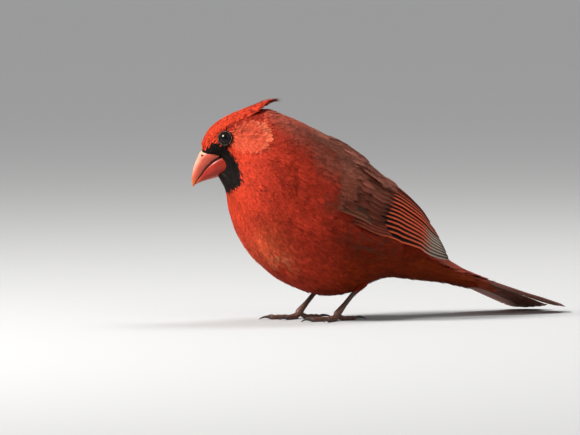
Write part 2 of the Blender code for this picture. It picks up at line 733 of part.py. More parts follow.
def toe_path(ankle, direction, length):
    """Points along a toe's middle line, from the foot's hub down to the floor and out."""
    heights = (2.9, 1.9, 1.0, 1.0, 1.0, 1.0, 1.0, 1.0)
    shares = (0.0, 0.14, 0.3, 0.45, 0.6, 0.75, 0.9, 1.0)
    return [
        Vector((ankle.x, ankle.y, 0.0)) + direction * length * s + Vector((0.0, 0.0, h))
        for s, h in zip(shares, heights)
    ]


def make_foot(side, word):
    """The toes with their hub and the low end of the leg, and the claws as their own pieces."""
    ankle = ANKLES[side]
    up = leg_direction(side)
    hub_end = ankle + up * FOOT_STUB
    hub = tube("hub", [ankle - up * 2.2, ankle - up * 1.0, ankle + up * 1.2, hub_end], [1.5, 1.9, 1.75, 1.5],
               10, "leg", on_floor=True)
    toes = [hub]
    outward = -1 if side == 0 else 1
    for name, angle, length, radius, claw in TOES:
        heading = math.radians(180 + outward * (angle - FOOT_OUT))
        direction = Vector((math.cos(heading), math.sin(heading), 0.0))
        swell = (1.1, 1.0, 1.05, 0.86, 1.04, 0.84, 0.98, 0.7)
        path = toe_path(ankle, direction, length)
        toes.append(tube("toe", path, [radius * s for s in swell], 7, "leg", on_floor=True))
        tip = path[-1] + direction * (GAP + 0.25)
        bends = ((0.0, 0.0), (0.25, 0.55), (0.55, 0.45), (0.82, -0.2), (1.0, -0.72))
        claw_path = [tip + direction * claw * s + Vector((0.0, 0.0, h)) for s, h in bends]
        tube("claw_" + word + "_" + name, claw_path, [0.78, 0.72, 0.56, 0.4, 0.24], 6, "claw", on_floor=True)
    fused("foot_" + word, toes)


def make_torso():
    sockets = []
    for side, word in enumerate(("left", "right")):
        sockets.append(make_leg(side, word))
        make_foot(side, word)
    torso = body_part("torso", NECK_END + NECK_CUT, TORSO_END, 18, "red")
    cut(torso, sockets)


def make_materials():
    for name, colour in COLOURS.items():
        material = bpy.data.materials.new(name)
        material.use_nodes = True
        shader = material.node_tree.nodes["Principled BSDF"]
        shader.inputs["Base Color"].default_value = (*colour, 1.0)
        shader.inputs["Roughness"].default_value = ROUGHNESS[name]
        shader.inputs["Metallic"].default_value = 0.0


def main():
    for obj in list(bpy.data.objects):
        bpy.data.objects.remove(obj)
    bird = bpy.data.collections.new("northern_cardinal")
    bpy.context.scene.collection.children.link(bird)
    make_materials()
    make_head()
    make_crest()
    body_part("neck", HEAD_END + HEAD_CUT, NECK_END, 5, "red")
    make_torso()
    make_wings()
    make_tail()
    for obj in bird.objects:
        obj.data.transform(Matrix.Scale(METRES, 4))


main()
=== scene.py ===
"""A male northern cardinal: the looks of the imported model, built over its solids.

The forms repeat the named values of the solids, in millimetres, with the same functions worked out for whole
arrays of points at once. Piece.make() moves the origin and scales to metres.
"""

import json
import math

import bpy
import numpy as np
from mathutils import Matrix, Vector

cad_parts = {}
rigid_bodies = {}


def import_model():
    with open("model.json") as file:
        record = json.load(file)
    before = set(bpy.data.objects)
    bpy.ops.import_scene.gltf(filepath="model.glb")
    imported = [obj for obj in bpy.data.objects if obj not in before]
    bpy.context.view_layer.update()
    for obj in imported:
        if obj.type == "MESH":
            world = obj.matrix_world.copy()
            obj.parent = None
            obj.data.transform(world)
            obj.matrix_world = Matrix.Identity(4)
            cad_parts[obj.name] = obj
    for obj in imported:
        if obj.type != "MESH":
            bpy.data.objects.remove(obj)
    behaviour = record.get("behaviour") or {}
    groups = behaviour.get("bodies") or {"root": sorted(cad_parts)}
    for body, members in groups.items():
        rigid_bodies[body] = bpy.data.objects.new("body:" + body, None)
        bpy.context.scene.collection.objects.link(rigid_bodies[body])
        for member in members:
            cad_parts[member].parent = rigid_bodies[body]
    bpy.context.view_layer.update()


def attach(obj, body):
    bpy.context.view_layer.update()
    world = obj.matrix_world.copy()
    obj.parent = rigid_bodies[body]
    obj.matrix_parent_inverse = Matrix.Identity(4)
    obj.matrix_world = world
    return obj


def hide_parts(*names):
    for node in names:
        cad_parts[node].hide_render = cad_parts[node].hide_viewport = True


METRES = 0.001
GAP = 0.35
MIDDLE = np.array((41.5, 0.0, 0.0))
PHOTO_SCALE = 0.52                    # millimetres a pixel of the photograph
PHOTO_ZERO = (319.0, 320.0)           # the pixel of the point on the floor between the feet

# The head's turn, as in the solids
HEAD_TURN = 30.0
TURN_AXIS = np.array((-22.0, 0.0, 0.0))
TURN_POINT = np.array((-35.0, 0.0, 84.0))
TURN_NORMAL = np.array((-0.83, 0.0, 0.55))
TURN_REACH = 14.0

# Cross-sections: top x, top z, bottom x, bottom z, half width, height of the widest line as a share
BODY = (
    (-64.6, 88.0, -55.1, 74.7, 5.6, 0.50),
    (-62.9, 93.6, -53.0, 71.4, 8.6, 0.52),
    (-59.3, 99.6, -51.0, 67.0, 11.0, 0.55),
    (-53.3, 104.2, -49.8, 61.4, 12.9, 0.58),
    (-44.0, 107.6, -48.6, 53.0, 15.0, 0.50),
    (-35.0, 109.4, -44.6, 43.2, 18.6, 0.44),
    (-26.2, 108.9, -37.8, 34.1, 22.0, 0.44),
    (-13.8, 104.3, -28.5, 26.0, 25.2, 0.45),
    (-0.6, 97.6, -16.5, 18.5, 27.2, 0.46),
    (12.6, 89.4, -2.5, 14.2, 27.8, 0.47),
    (25.0, 78.5, 9.6, 13.0, 26.2, 0.48),
    (38.0, 66.8, 21.6, 16.6, 22.4, 0.50),
    (50.0, 55.6, 33.0, 20.4, 17.5, 0.52),
    (60.0, 44.6, 44.0, 21.6, 12.6, 0.55),
    (69.8, 33.2, 58.0, 19.6, 9.6, 0.58),
    (80.6, 25.4, 75.6, 17.4, 8.6, 0.55),
    (95.0, 18.4, 93.2, 13.6, 8.0, 0.50),
)
BODY_SQUARE = 2.25
TAIL_ROOT_END = 15.7
UPPER_BILL = (
    (-61.8, 91.0, -49.7, 87.1, 5.0, 0.30),
    (-64.7, 87.7, -54.3, 85.6, 5.4, 0.28),
    (-66.6, 83.6, -58.2, 83.3, 4.6, 0.25),
    (-68.1, 79.4, -61.7, 79.8, 3.5, 0.25),
    (-68.8, 75.6, -64.5, 76.0, 2.3, 0.28),
    (-68.9, 72.6, -66.7, 72.8, 1.2, 0.35),
    (-68.5, 70.0, -68.0, 70.2, 0.35, 0.50),
)
LOWER_BILL = (
    (-49.5, 86.8, -45.6, 80.8, 5.0, 0.60),
    (-54.2, 85.2, -50.0, 77.6, 6.1, 0.60),
    (-58.0, 82.9, -54.6, 75.4, 5.8, 0.64),
    (-61.4, 79.5, -58.9, 74.1, 4.6, 0.68),
    (-64.1, 75.8, -62.8, 73.0, 3.0, 0.70),
    (-66.3, 72.7, -65.6, 72.0, 1.4, 0.60),
    (-67.0, 71.4, -66.9, 71.2, 0.4, 0.50),
)
GAPE = np.array((-54.0, 0.0, 80.5))
GAPE_PINCH, GAPE_REACH = 0.58, 9.5
NOSTRIL = (-63.6, 3.4, 86.2)
EYE_AT = (3.15, 62.0)
EYE_RADIUS = 4.35                     # a little inside the solid's, as the lids hide its rim
EYE_OUT = 1.4
CREST_HEIGHT = (0.0, 0.0, 0.0, 0.3, 1.4, 2.9, 4.9, 6.3, 7.2)
CREST_REACH = 40.0
WING_SHELL = BODY[:11] + (
    (39.4, 69.8, 21.0, 14.0, 25.0, 0.50),
    (52.0, 60.0, 35.0, 13.5, 21.2, 0.50),
    (61.8, 49.2, 49.0, 15.6, 16.4, 0.50),
    (71.0, 42.0, 62.0, 20.4, 12.2, 0.50),
    (79.5, 37.2, 74.0, 24.4, 9.4, 0.50),
    (86.0, 34.0, 82.0, 26.0, 7.4, 0.50),
)
WING_THIN = (8.0, 46.0, 0.3)
WING_LIFT = 0.75
TAIL_ROOT = np.array((48.6, 0.0, 32.2))
TAIL_SLOPE = 18.9
TAIL_ROLL = 7.0
TAIL_LENGTHS = (102.0, 102.5, 101.5, 99.0, 95.5, 91.0)
TAIL_FIRST, TAIL_STEP = 3.6, 1.55
TAIL_WIDTH = 10.6
TAIL_ROOTS = 34.0
TAIL_LAYER = 0.42
FLOOR_BEND = 2.6
ANKLES = (np.array((4.6, -12.0, 4.2)), np.array((-4.4, 12.0, 4.2)))
HEELS = (np.array((21.4, -12.4, 22.3)), np.array((12.6, 11.6, 22.0)))
LEG_RADIUS = 1.25
FOOT_OUT = 8.0
TOES = (
    ("inner", 33.0, 12.5, 1.15, 5.6),
    ("middle", 3.0, 17.0, 1.25, 6.4),
    ("outer", -28.0, 13.0, 1.15, 5.4),
    ("hind", 181.0, 10.5, 1.25, 7.6),
)

# Linear colours
CROWN = (0.55, 0.044, 0.016)
CHEEK = (0.54, 0.07, 0.032)
# A painted highlight on the raised rear rim of the ear coverts
CHEEK_RIM_HIGHLIGHT = (0.68, 0.13, 0.062)
# Painted highlights: pale streaks on some feathers of the lower breast
PAINTED_HIGHLIGHT_STREAK = (0.7, 0.22, 0.1)
BREAST = (0.44, 0.034, 0.015)
# The belly's red darkened with painted shade, as the lower body lies in shadow
BELLY_IN_PAINTED_SHADE = (0.155, 0.014, 0.001)
# A painted highlight: the light along the lower breast's outline
BREAST_PAINTED_RIM_LIGHT = (0.82, 0.12, 0.045)
UNDERTAIL = (0.2, 0.024, 0.004)
BACK = (0.36, 0.115, 0.074)
NAPE = (0.34, 0.062, 0.036)
FLANK_GREY = (0.11, 0.042, 0.026)
# Painted shadow of the crest on the side of the head, behind the eye
PAINTED_CREST_SHADOW = (0.27, 0.02, 0.009)
MASK = (0.007, 0.005, 0.004)
BACK_EDGE = (0.3, 0.15, 0.11)
COVERT = (0.16, 0.034, 0.018)
WEB_OUTER = (0.66, 0.1, 0.04)
# The dusky inner webs, darkened further with painted shade where each feather lies under the next
INNER_WEB_AND_SHADE = (0.012, 0.008, 0.007)
VANE_TIP = (0.16, 0.12, 0.095)
PALE_EDGE = (0.42, 0.33, 0.26)
TAIL_OUTER = (0.38, 0.055, 0.028)
TAIL_INNER = (0.17, 0.068, 0.046)
SHAFT = (0.06, 0.03, 0.022)

# Places on the left side of the head, in pixels of the photograph
MASK_LINE = ((180, 150), (198, 149.5), (204, 147.5), (210, 145.5), (215, 142), (217, 139), (219, 143), (224, 145.5),
             (230, 145.5), (232.5, 152), (236.5, 160), (239, 170), (238.5, 180), (234, 188), (228, 195),
             (222, 198), (180, 200))
CHEEK_LINE = ((235, 131), (243, 124), (256, 122), (266, 125.5), (270, 133), (268, 141), (262, 148.5),
              (254, 152.5), (244, 154), (237, 149))
BILL_LINE = ((180, 149), (200, 150.5), (206, 153), (214, 155), (226, 158), (229.5, 166), (221, 174.5), (205, 182),
             (180, 190))
# Where the crest's painted shadow lies
CREST_SHADOW_LINE = ((230, 128), (235, 119), (248, 114.5), (264, 111), (269, 118), (262, 122.5), (246, 122.5), (236, 130))


def spline(rows, t):
    """A smooth curve through rows of numbers at every t, one row at each whole t."""
    rows = np.asarray(rows, float)
    t = np.asarray(t, float)
    i = np.clip(np.floor(t).astype(int), 0, len(rows) - 2)
    f = (t - i)[..., None]
    wide = np.vstack([2 * rows[0] - rows[1], rows, 2 * rows[-1] - rows[-2]])
    p, q, r, s = (wide[i + k] for k in range(4))
    return q + 0.5 * f * (r - p + f * (2 * p - 5 * q + 4 * r - s + f * (3 * (q - r) + s - p)))


def smooth(share):
    share = np.clip(share, 0.0, 1.0)
    return share * share * (3 - 2 * share)


def unit(v):
    return v / np.maximum(np.linalg.norm(v, axis=-1, keepdims=True), 1e-9)


def turned(points):
    share = smooth((points - TURN_POINT) @ TURN_NORMAL / (2 * TURN_REACH) + 0.5)
    turn = np.radians(-HEAD_TURN * share)
    x, y = points[..., 0] - TURN_AXIS[0], points[..., 1] - TURN_AXIS[1]
    cos, sin = np.cos(turn), np.sin(turn)
    return np.stack([TURN_AXIS[0] + x * cos - y * sin, TURN_AXIS[1] + x * sin + y * cos, points[..., 2]], -1)


def section_points(stations, t, angle, square_top, square_low, grow=0.0):
    """Points at angles (0 top, 90 left, 180 bottom) of the sections at t, moved out by grow."""
    t, angle = np.broadcast_arrays(np.asarray(t, float), np.asarray(angle, float))
    top_x, top_z, low_x, low_z, half_width, widest = np.moveaxis(spline(stations, t), -1, 0)
    cos, sin = np.cos(np.radians(angle)), np.sin(np.radians(angle))
    power = 2 / np.where(cos >= 0, square_top, square_low)
    up = np.copysign(np.abs(cos) ** power, cos)
    out = np.copysign(np.abs(sin) ** power, sin)
    tall = np.hypot(top_x - low_x, top_z - low_z)
    share = widest + up * np.where(up > 0, 1 - widest, widest) + up * grow / tall
    return np.stack(
        [low_x + (top_x - low_x) * share, -(half_width + grow) * out, low_z + (top_z - low_z) * share], -1
    )


def plain_body(t, angle):
    """The body's surface with the head straight ahead."""
    points = section_points(BODY, t, angle, BODY_SQUARE, BODY_SQUARE)
    away = np.hypot(points[..., 0] - GAPE[0], points[..., 2] - GAPE[2])
    points[..., 1] *= 1 - GAPE_PINCH * np.exp(-(away / GAPE_REACH) ** 2)
    return points


def body(t, angle):
    return turned(plain_body(t, angle))


def crest(level):
    """The surface through the crest at a level from the crown (0) to the crest's ridge (1)."""
    def surface(t, angle):
        points = plain_body(t, angle)
        top_x, top_z, low_x, low_z = np.moveaxis(spline(BODY, t), -1, 0)[:4]
        up = unit(np.stack([top_x - low_x, 0 * top_x, top_z - low_z], -1))
        height = np.interp(t, range(len(CREST_HEIGHT)), CREST_HEIGHT)
        side = np.clip(np.abs(angle) / CREST_REACH, 0, 1)
        raised = GAP + level * height * (1 - side * side) ** 1.5
        return turned(points + up * raised[..., None])
    return surface


def shell(t, angle):
    return section_points(WING_SHELL, t, angle, BODY_SQUARE, BODY_SQUARE)


def tail(along, across):
    """A point of the tail's fan, from millimetres along and across it. Near the floor it bends level."""
    slope, roll = math.radians(TAIL_SLOPE), math.radians(TAIL_ROLL)
    ahead = np.array((math.cos(slope), 0.0, -math.sin(slope)))
    left = np.array((0.0, -math.cos(roll), math.sin(roll)))
    points = TAIL_ROOT + np.asarray(along)[..., None] * ahead + np.asarray(across)[..., None] * left
    z = points[..., 2]
    bent = (z + FLOOR_BEND) ** 2 / (4 * FLOOR_BEND)
    points[..., 2] = np.where(z < -FLOOR_BEND, 0.0, np.where(z < FLOOR_BEND, bent, z))
    return points


def normals(surface, p, q, dp=0.02, dq=0.5):
    """The surface's outward direction at each place."""
    along = surface(p + dp, q) - surface(p - dp, q)
    across = surface(p, q + dq) - surface(p, q - dq)
    return unit(np.cross(across, along))


def scales(surface, p, q, dp=0.02, dq=0.5):
    """Millimetres for each unit of p and of q."""
    along = np.linalg.norm(surface(p + dp, q) - surface(p - dp, q), axis=-1) / (2 * dp)
    across = np.linalg.norm(surface(p, q + dq) - surface(p, q - dq), axis=-1) / (2 * dq)
    return np.maximum(along, 0.5), np.maximum(across, 0.02)


def mixed(a, b, share):
    share = np.asarray(share)[..., None]
    return np.asarray(a) * (1 - share) + np.asarray(b) * share


def inside(x, y, line):
    """Which points lie inside a closed line."""
    found = np.zeros(np.shape(x), bool)
    for (ax, ay), (bx, by) in zip(line, line[1:] + line[:1]):
        crosses = (ay > y) != (by > y)
        found ^= crosses & (x < ax + (bx - ax) * (y - ay) / (by - ay + 1e-9))
    return found


def head_pixels(t, angle):
    """Where a place on the head lies in the photograph, both sides drawn on the left one."""
    points = plain_body(t, angle)
    x = PHOTO_ZERO[0] + (points[..., 0] + 2.95) / PHOTO_SCALE
    y = PHOTO_ZERO[1] - (points[..., 2] * 0.9986 - 1.2) / PHOTO_SCALE
    return x, y


def waves(t, angle, seed, fine=1.0):
    """A smooth uneven field between about -1 and 1, drawn out along the lie of the feathers."""
    shuffle = np.random.default_rng(seed)
    total = 0.0
    for k in range(7):
        along = shuffle.uniform(0.6, 2.2) * fine
        around = shuffle.uniform(0.06, 0.24) * fine * shuffle.choice((-1, 1))
        total = total + np.sin(along * t + around * angle + shuffle.uniform(0, 6.3))
    return total / 3.2


def plumage(t, angle, shuffle, ragged=1.0):
    """The colour of the plumage at each place of the body, with a little chance in it, and with painted shade and
    painted highlights.
    """
    side = np.abs((angle + 180) % 360 - 180)
    colour = mixed(CROWN, BREAST, smooth((t - 3.6) / 2.0))
    # Painted shade: darker towards the belly
    colour = mixed(colour, BELLY_IN_PAINTED_SHADE, smooth((t - 7.0) / 3.2) * smooth((side - 60) / 50))
    colour = mixed(colour, UNDERTAIL, smooth((t - 12.2) / 2.0) * smooth((side - 70) / 50))
    back = smooth((76 - 34 * smooth((7.6 - t) / 2) - side) / 26) * smooth((t - 4.6) / 1.8)
    colour = mixed(colour, mixed(NAPE, BACK, smooth((t - 6.9) / 1.5)), back)
    colour = mixed(colour, BREAST, 0.6 * smooth((t - 11.8) / 1.6) * smooth((70 - side) / 30))
    # Painted shade at the shoulder, where the back meets the wing's front
    painted_shoulder_shade = np.exp(-((t - 7.45) / 0.75) ** 2 - ((side - 42) / 18) ** 2)
    colour = colour * (1 - 0.4 * painted_shoulder_shade)[..., None]
    # Painted highlight along the lower breast's outline
    colour = mixed(colour, BREAST_PAINTED_RIM_LIGHT, 0.85 * np.exp(-((t - 6.1) / 0.9) ** 2 - ((side - 152) / 26) ** 2))
    x, y = head_pixels(t, angle)
    x = x + shuffle.normal(0, 0.9 * ragged, np.shape(x))
    y = y + shuffle.normal(0, 0.9 * ragged, np.shape(y))
    near = t < 6.5
    # Painted highlight on the rear rim of the ear coverts
    rim = smooth((np.hypot(x - 243, (y - 138) * 1.25) - 20) / 5)
    colour = np.where((near & inside(x, y, CHEEK_LINE))[..., None], mixed(CHEEK, CHEEK_RIM_HIGHLIGHT, rim), colour)
    # Painted shadow of the crest behind the eye
    colour = np.where((near & inside(x, y, CREST_SHADOW_LINE))[..., None], PAINTED_CREST_SHADOW, colour)
    grey = np.exp(-((t - 10.0) / 1.3) ** 2 - ((side - 98) / 9) ** 2) * (shuffle.random(np.shape(t)) < 0.6)
    colour = mixed(colour, FLANK_GREY, 0.6 * grey * ragged)
    # Painted highlights: pale streaks on some feathers of the lower breast
    pale = np.exp(-((t - 6.9) / 0.6) ** 2 - ((side - 152) / 16) ** 2) * (shuffle.random(np.shape(x)) < 0.4)
    colour = mixed(colour, PAINTED_HIGHLIGHT_STREAK, 0.68 * pale * ragged)
    light = (shuffle.normal(1.0, 0.14, np.shape(x)) + 0.09 * waves(t, angle, 5))[..., None]
    dark = np.asarray(MASK) * (0.7 + 2.0 * shuffle.random(np.shape(x)) ** 3)[..., None]
    return np.where((near & inside(x, y, MASK_LINE))[..., None], dark, colour * light)


class Piece:
    """Points, faces, colours and coat patches gathered for one mesh, in millimetres."""

    def __init__(self):
        self.points, self.quads, self.triangles, self.tint, self.patch = [], [], [], [], []
        self.outward = []
        self.count = 0

    def add(self, points, quads=None, triangles=None, tint=(0.5, 0.5, 0.5), patch=None, outward=None):
        points = np.asarray(points, float).reshape(-1, 3)
        if quads is not None and len(quads):
            self.quads.append(np.asarray(quads).reshape(-1, 4) + self.count)
        if triangles is not None and len(triangles):
            self.triangles.append(np.asarray(triangles).reshape(-1, 3) + self.count)
        self.points.append(points)
        self.tint.append(np.broadcast_to(np.asarray(tint, float).reshape(-1, 3), points.shape))
        self.patch.append(np.zeros((len(points), 2)) if patch is None else np.asarray(patch).reshape(-1, 2))
        self.outward.append(np.zeros_like(points) if outward is None else np.asarray(outward).reshape(-1, 3))
        self.count += len(points)

    def grid(self, points, tint, closed_across=False, patch=None, flip=False):
        """An open surface through a grid of points, rows along and columns across."""
        rows, columns = points.shape[:2]
        i = np.arange(rows - 1)[:, None] * columns
        k = np.arange(columns if closed_across else columns - 1)[None, :]
        n = (k + 1) % columns
        quads = np.stack([i + k, i + n, i + columns + n, i + columns + k], -1).reshape(-1, 4)
        self.add(points, quads[:, ::-1] if flip else quads, tint=tint, patch=patch)

    def mirrored(self):
        """The same piece on the bird's other side."""
        other = Piece()
        other.points = [p * (1, -1, 1) for p in self.points]
        other.quads = [q[:, ::-1] for q in self.quads]
        other.triangles = [q[:, ::-1] for q in self.triangles]
        other.tint, other.patch, other.count = list(self.tint), list(self.patch), self.count
        other.outward = [n * (1, -1, 1) for n in self.outward]
        return other

    def make(self, name, material, slot, nodes=(), coat=False, lowest=None, sharp=None):
        points = np.concatenate(self.points)
        if lowest is not None:
            points[:, 2] = np.maximum(points[:, 2], lowest)
        mesh = bpy.data.meshes.new(name)
        quads = np.concatenate(self.quads) if self.quads else np.zeros((0, 4), int)
        triangles = np.concatenate(self.triangles) if self.triangles else np.zeros((0, 3), int)
        corners = np.concatenate([quads.ravel(), triangles.ravel()]).astype(np.int32)
        starts = np.concatenate([
            np.arange(len(quads)) * 4, len(quads) * 4 + np.arange(len(triangles)) * 3
        ]).astype(np.int32)
        mesh.vertices.add(len(points))
        mesh.vertices.foreach_set("co", ((points - MIDDLE) * METRES).astype(np.float32).ravel())
        mesh.loops.add(len(corners))
        mesh.loops.foreach_set("vertex_index", corners)
        mesh.polygons.add(len(starts))
        mesh.polygons.foreach_set("loop_start", starts)
        mesh.update(calc_edges=True)
        tint = np.ones((len(points), 4), np.float32)
        tint[:, :3] = np.clip(np.concatenate(self.tint), 0.0, 1.0)
        colours = mesh.attributes.new("tint", "FLOAT_COLOR", "POINT")
        colours.data.foreach_set("color", tint.ravel())
        if coat:
            patch = np.concatenate(self.patch)[corners].astype(np.float32)
            mesh.uv_layers.new(name="OFBake").data.foreach_set("uv", patch.ravel())
        mesh.shade_smooth()
        if sharp is not None:
            mesh.set_sharp_from_angle(angle=math.radians(sharp))
        outward = np.concatenate(self.outward)
        given = np.abs(outward).sum(1) > 0
        if given.any():
            plain = np.empty(len(points) * 3, np.float32)
            mesh.vertex_normals.foreach_get("vector", plain)
            outward = np.where(given[:, None], outward, plain.reshape(-1, 3))
            # A blade's underside gets the opposite direction, so that it isn't black from behind
            facing = np.concatenate([
                np.repeat(np.cross(*(points[quads[:, [2, 3]]] - points[quads[:, [0, 1]]]).transpose(1, 0, 2)), 4, 0),
                np.repeat(np.cross(*(points[triangles[:, [1, 2]]] - points[triangles[:, [0, 0]]]).transpose(1, 0, 2)),
                          3, 0),
            ])
            shown = outward[corners]
            shown = shown * np.where((shown * facing).sum(1) < 0, -1.0, 1.0)[:, None]
            mesh.normals_split_custom_set(shown.tolist())
        mesh.materials.append(material)
        obj = bpy.data.objects.new(name, mesh)
        bpy.context.scene.collection.objects.link(obj)
        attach(obj, "root")
        if nodes:
            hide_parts(*nodes)
        return obj


class Blades:
    """Thin closed blades of one tuft, in a feather's own measures.

    A point is its share of the length, its share of the half width, millimetres across and up, and its light."""

    def __init__(self):
        self.points, self.quads, self.triangles = [], [], []

    def add(self, stations, end, thick, light):
        """A blade through stations (share, side, half width as a share, half width in mm, height) to its end."""
        first = len(self.points)
        for share, side, wide, half, up in stations:
            self.points += [
                (share, side - wide, -half, up, light),
                (share, side, 0.0, up + thick, light),
                (share, side + wide, half, up, light),
            ]
        self.points.append((end[0], end[1], 0.0, end[2], light))
        for k in range(len(stations) - 1):
            a, b = first + 3 * k, first + 3 * k + 3
            self.quads += [(a, a + 1, b + 1, b), (a + 1, a + 2, b + 2, b + 1), (a + 2, a, b, b + 2)]
        a, tip = first + 3 * len(stations) - 3, first + 3 * len(stations)
        self.triangles += [(a, a + 1, tip), (a + 1, a + 2, tip), (a + 2, a, tip), (first, first + 2, first + 1)]

    def arrays(self):
        return np.array(self.points), np.array(self.quads).reshape(-1, 4), np.array(self.triangles)


def tuft(shuffle, strands, fine, vane=1.0, loft=0.4, reach=1.12, spread=1.15):
    """One feather: a soft vane, and strands of barbs over it that fringe its sides and tip."""
    blades = Blades()
    if vane:
        blades.add(
            [(0.0, 0.0, 0.3 * vane, 0.0, 0.0), (0.4, 0.0, 0.9 * vane, 0.0, 0.0), (0.66, 0.0, 0.9 * vane, 0.0, 0.0)],
            (0.9, 0.0, 0.0), 0.06, 0.93,
        )
    for k in range(strands):
        side = -0.95 + 1.9 * (k + shuffle.uniform(0.1, 0.9)) / strands
        start = shuffle.uniform(0.12, 0.6)
        end = min(start + shuffle.uniform(0.36, 0.55), reach - 0.26 * side * side + shuffle.uniform(-0.07, 0.05))
        height = loft * shuffle.uniform(0.25, 1.0)
        half = fine * shuffle.uniform(0.75, 1.3)
        light = shuffle.uniform(0.7, 1.3)
        blades.add(
            [(start, side * 0.85, 0.0, half, 0.04)],
            (end, side * spread + shuffle.uniform(-0.12, 0.12), height), half * 0.3, light,
        )
    return blades.arrays()


def templates(count, seed, **values):
    shuffle = np.random.default_rng(seed)
    return [tuft(shuffle, **values) for i in range(count)]


def lay(piece, surface, place, along, across, half, lift, tint, tip_tint, shapes, shuffle, patch, soft=0.7, tilt=0.0):
    """Feathers on a surface. place, along and across are in the surface's two measures, lift at root and tip."""
    first = normals(surface, place[:, 0], place[:, 1])
    last = normals(surface, place[:, 0] + along[:, 0], place[:, 1] + along[:, 1])
    kind = shuffle.integers(0, len(shapes), len(place))
    for index, (points, quads, triangles) in enumerate(shapes):
        pick = np.nonzero(kind == index)[0]
        if not len(pick):
            continue
        share, side, wide, up, light = points.T
        x = side * half[pick, None] + wide
        p = place[pick, 0, None] + along[pick, 0, None] * share + across[pick, 0, None] * x
        q = place[pick, 1, None] + along[pick, 1, None] * share + across[pick, 1, None] * x
        rise = 1 - (1 - np.clip(share, 0, 1)) ** 2
        height = lift[pick, 0, None] + (lift[pick, 1] - lift[pick, 0])[:, None] * rise + up + tilt * x * rise
        out = unit(first[pick, None] * (1 - share)[None, :, None] + last[pick, None] * share[None, :, None])
        spots = surface(p, q) + out * height[..., None]
        tips = smooth((share - 0.78) / 0.22)[None, :, None]
        colour = (tint[pick, None] * (1 - tips) + tip_tint[pick, None] * tips) * light[None, :, None]
        spot = patch[pick, None] + 0.0015 * np.stack(
            [np.clip(side, -1, 1), 2 * np.clip(share, 0, 1) - 1], -1)[None]
        step = (np.arange(len(pick)) * len(points))[:, None, None]
        wave = np.sign(np.where(np.abs(wide) > 0, wide, side * 0.4))[None, :, None] * 0.55
        edge = unit(np.cross(unit(surface(p[:, :1] + 0.02, q[:, :1]) - surface(p[:, :1] - 0.02, q[:, :1])), out))
        outward = unit(out * soft - edge * wave * (1 - soft))
        piece.add(
            spots, (quads[None] + step).reshape(-1, 4), (triangles[None] + step).reshape(-1, 3),
            colour, spot, outward if soft else None,
        )


def scatter(surface, p_range, q_range, spacing, seed):
    """Evenly spread places on part of a surface. spacing(p, q) is the distance between neighbours."""
    rows, columns = 160, 180
    p = np.linspace(*p_range, rows + 1)
    q = np.linspace(*q_range, columns + 1)
    mid_p, mid_q = np.meshgrid((p[1:] + p[:-1]) / 2, (q[1:] + q[:-1]) / 2, indexing="ij")
    along, across = scales(surface, mid_p, mid_q)
    area = along * across * (p[1] - p[0]) * (q[1] - q[0])
    weight = area / (0.87 * spacing(mid_p, mid_q) ** 2)
    count = int(weight.sum())
    steps = np.arange(count) + seed
    first, second = (0.5 + steps * 0.7548776662) % 1, (0.5 + steps * 0.5698402910) % 1
    by_row = np.concatenate([[0], np.cumsum(weight.sum(1))])
    found_p = np.interp(first * by_row[-1], by_row, p)
    row = np.clip(((found_p - p[0]) / (p[1] - p[0])).astype(int), 0, rows - 1)
    within = np.concatenate([np.zeros((rows, 1)), np.cumsum(weight, 1)], 1)
    found_q = np.empty(count)
    for r in range(rows):
        pick = row == r
        found_q[pick] = np.interp(second[pick] * within[r, -1], within[r], q)
    return np.stack([found_p, found_q], -1)


def directions(surface, place, length, swing):
    """The way each feather lies, in the surface's measures: along to its tip, and across for each millimetre."""
    along, across = scales(surface, place[:, 0], place[:, 1])
    turn = np.radians(swing)
    lie = np.stack([length * np.cos(turn) / along, length * np.sin(turn) / across], -1)
    wide = np.stack([-np.sin(turn) / along, np.cos(turn) / across], -1)
    return lie, wide


def feather_material(name, grain, roughness, sheen, bump):
    """Colour from the tint, broken up by a fine grain, with the grain raised a little."""
    material = bpy.data.materials.new(name)
    material.use_nodes = True
    nodes, links = material.node_tree.nodes, material.node_tree.links
    shader = nodes["Principled BSDF"]
    tint = nodes.new("ShaderNodeAttribute")
    tint.attribute_name = "tint"
    place = nodes.new("ShaderNodeTexCoord")
    noise = nodes.new("ShaderNodeTexNoise")
    noise.inputs["Scale"].default_value = grain
    noise.inputs["Detail"].default_value = 5.0
    ramp = nodes.new("ShaderNodeMapRange")
    ramp.inputs["From Min"].default_value = 0.25
    ramp.inputs["From Max"].default_value = 0.75
    ramp.inputs["To Min"].default_value = 0.78
    ramp.inputs["To Max"].default_value = 1.16
    shade = nodes.new("ShaderNodeVectorMath")
    shade.operation = "SCALE"
    links.new(place.outputs["Object"], noise.inputs["Vector"])
    links.new(noise.outputs["Fac"], ramp.inputs["Value"])
    links.new(tint.outputs["Color"], shade.inputs[0])
    links.new(ramp.outputs["Result"], shade.inputs["Scale"])
    links.new(shade.outputs["Vector"], shader.inputs["Base Color"])
    raised = nodes.new("ShaderNodeBump")
    raised.inputs["Strength"].default_value = bump
    raised.inputs["Distance"].default_value = 0.0002
    links.new(noise.outputs["Fac"], raised.inputs["Height"])
    links.new(raised.outputs["Normal"], shader.inputs["Normal"])
    shader.inputs["Roughness"].default_value = roughness
    shader.inputs["Sheen Weight"].default_value = sheen
    shader.inputs["Sheen Roughness"].default_value = 0.4
    shader.inputs["Sheen Tint"].default_value = (1.0, 0.42, 0.28, 1.0)
    shader.inputs["Specular IOR Level"].default_value = 0.07
    return material


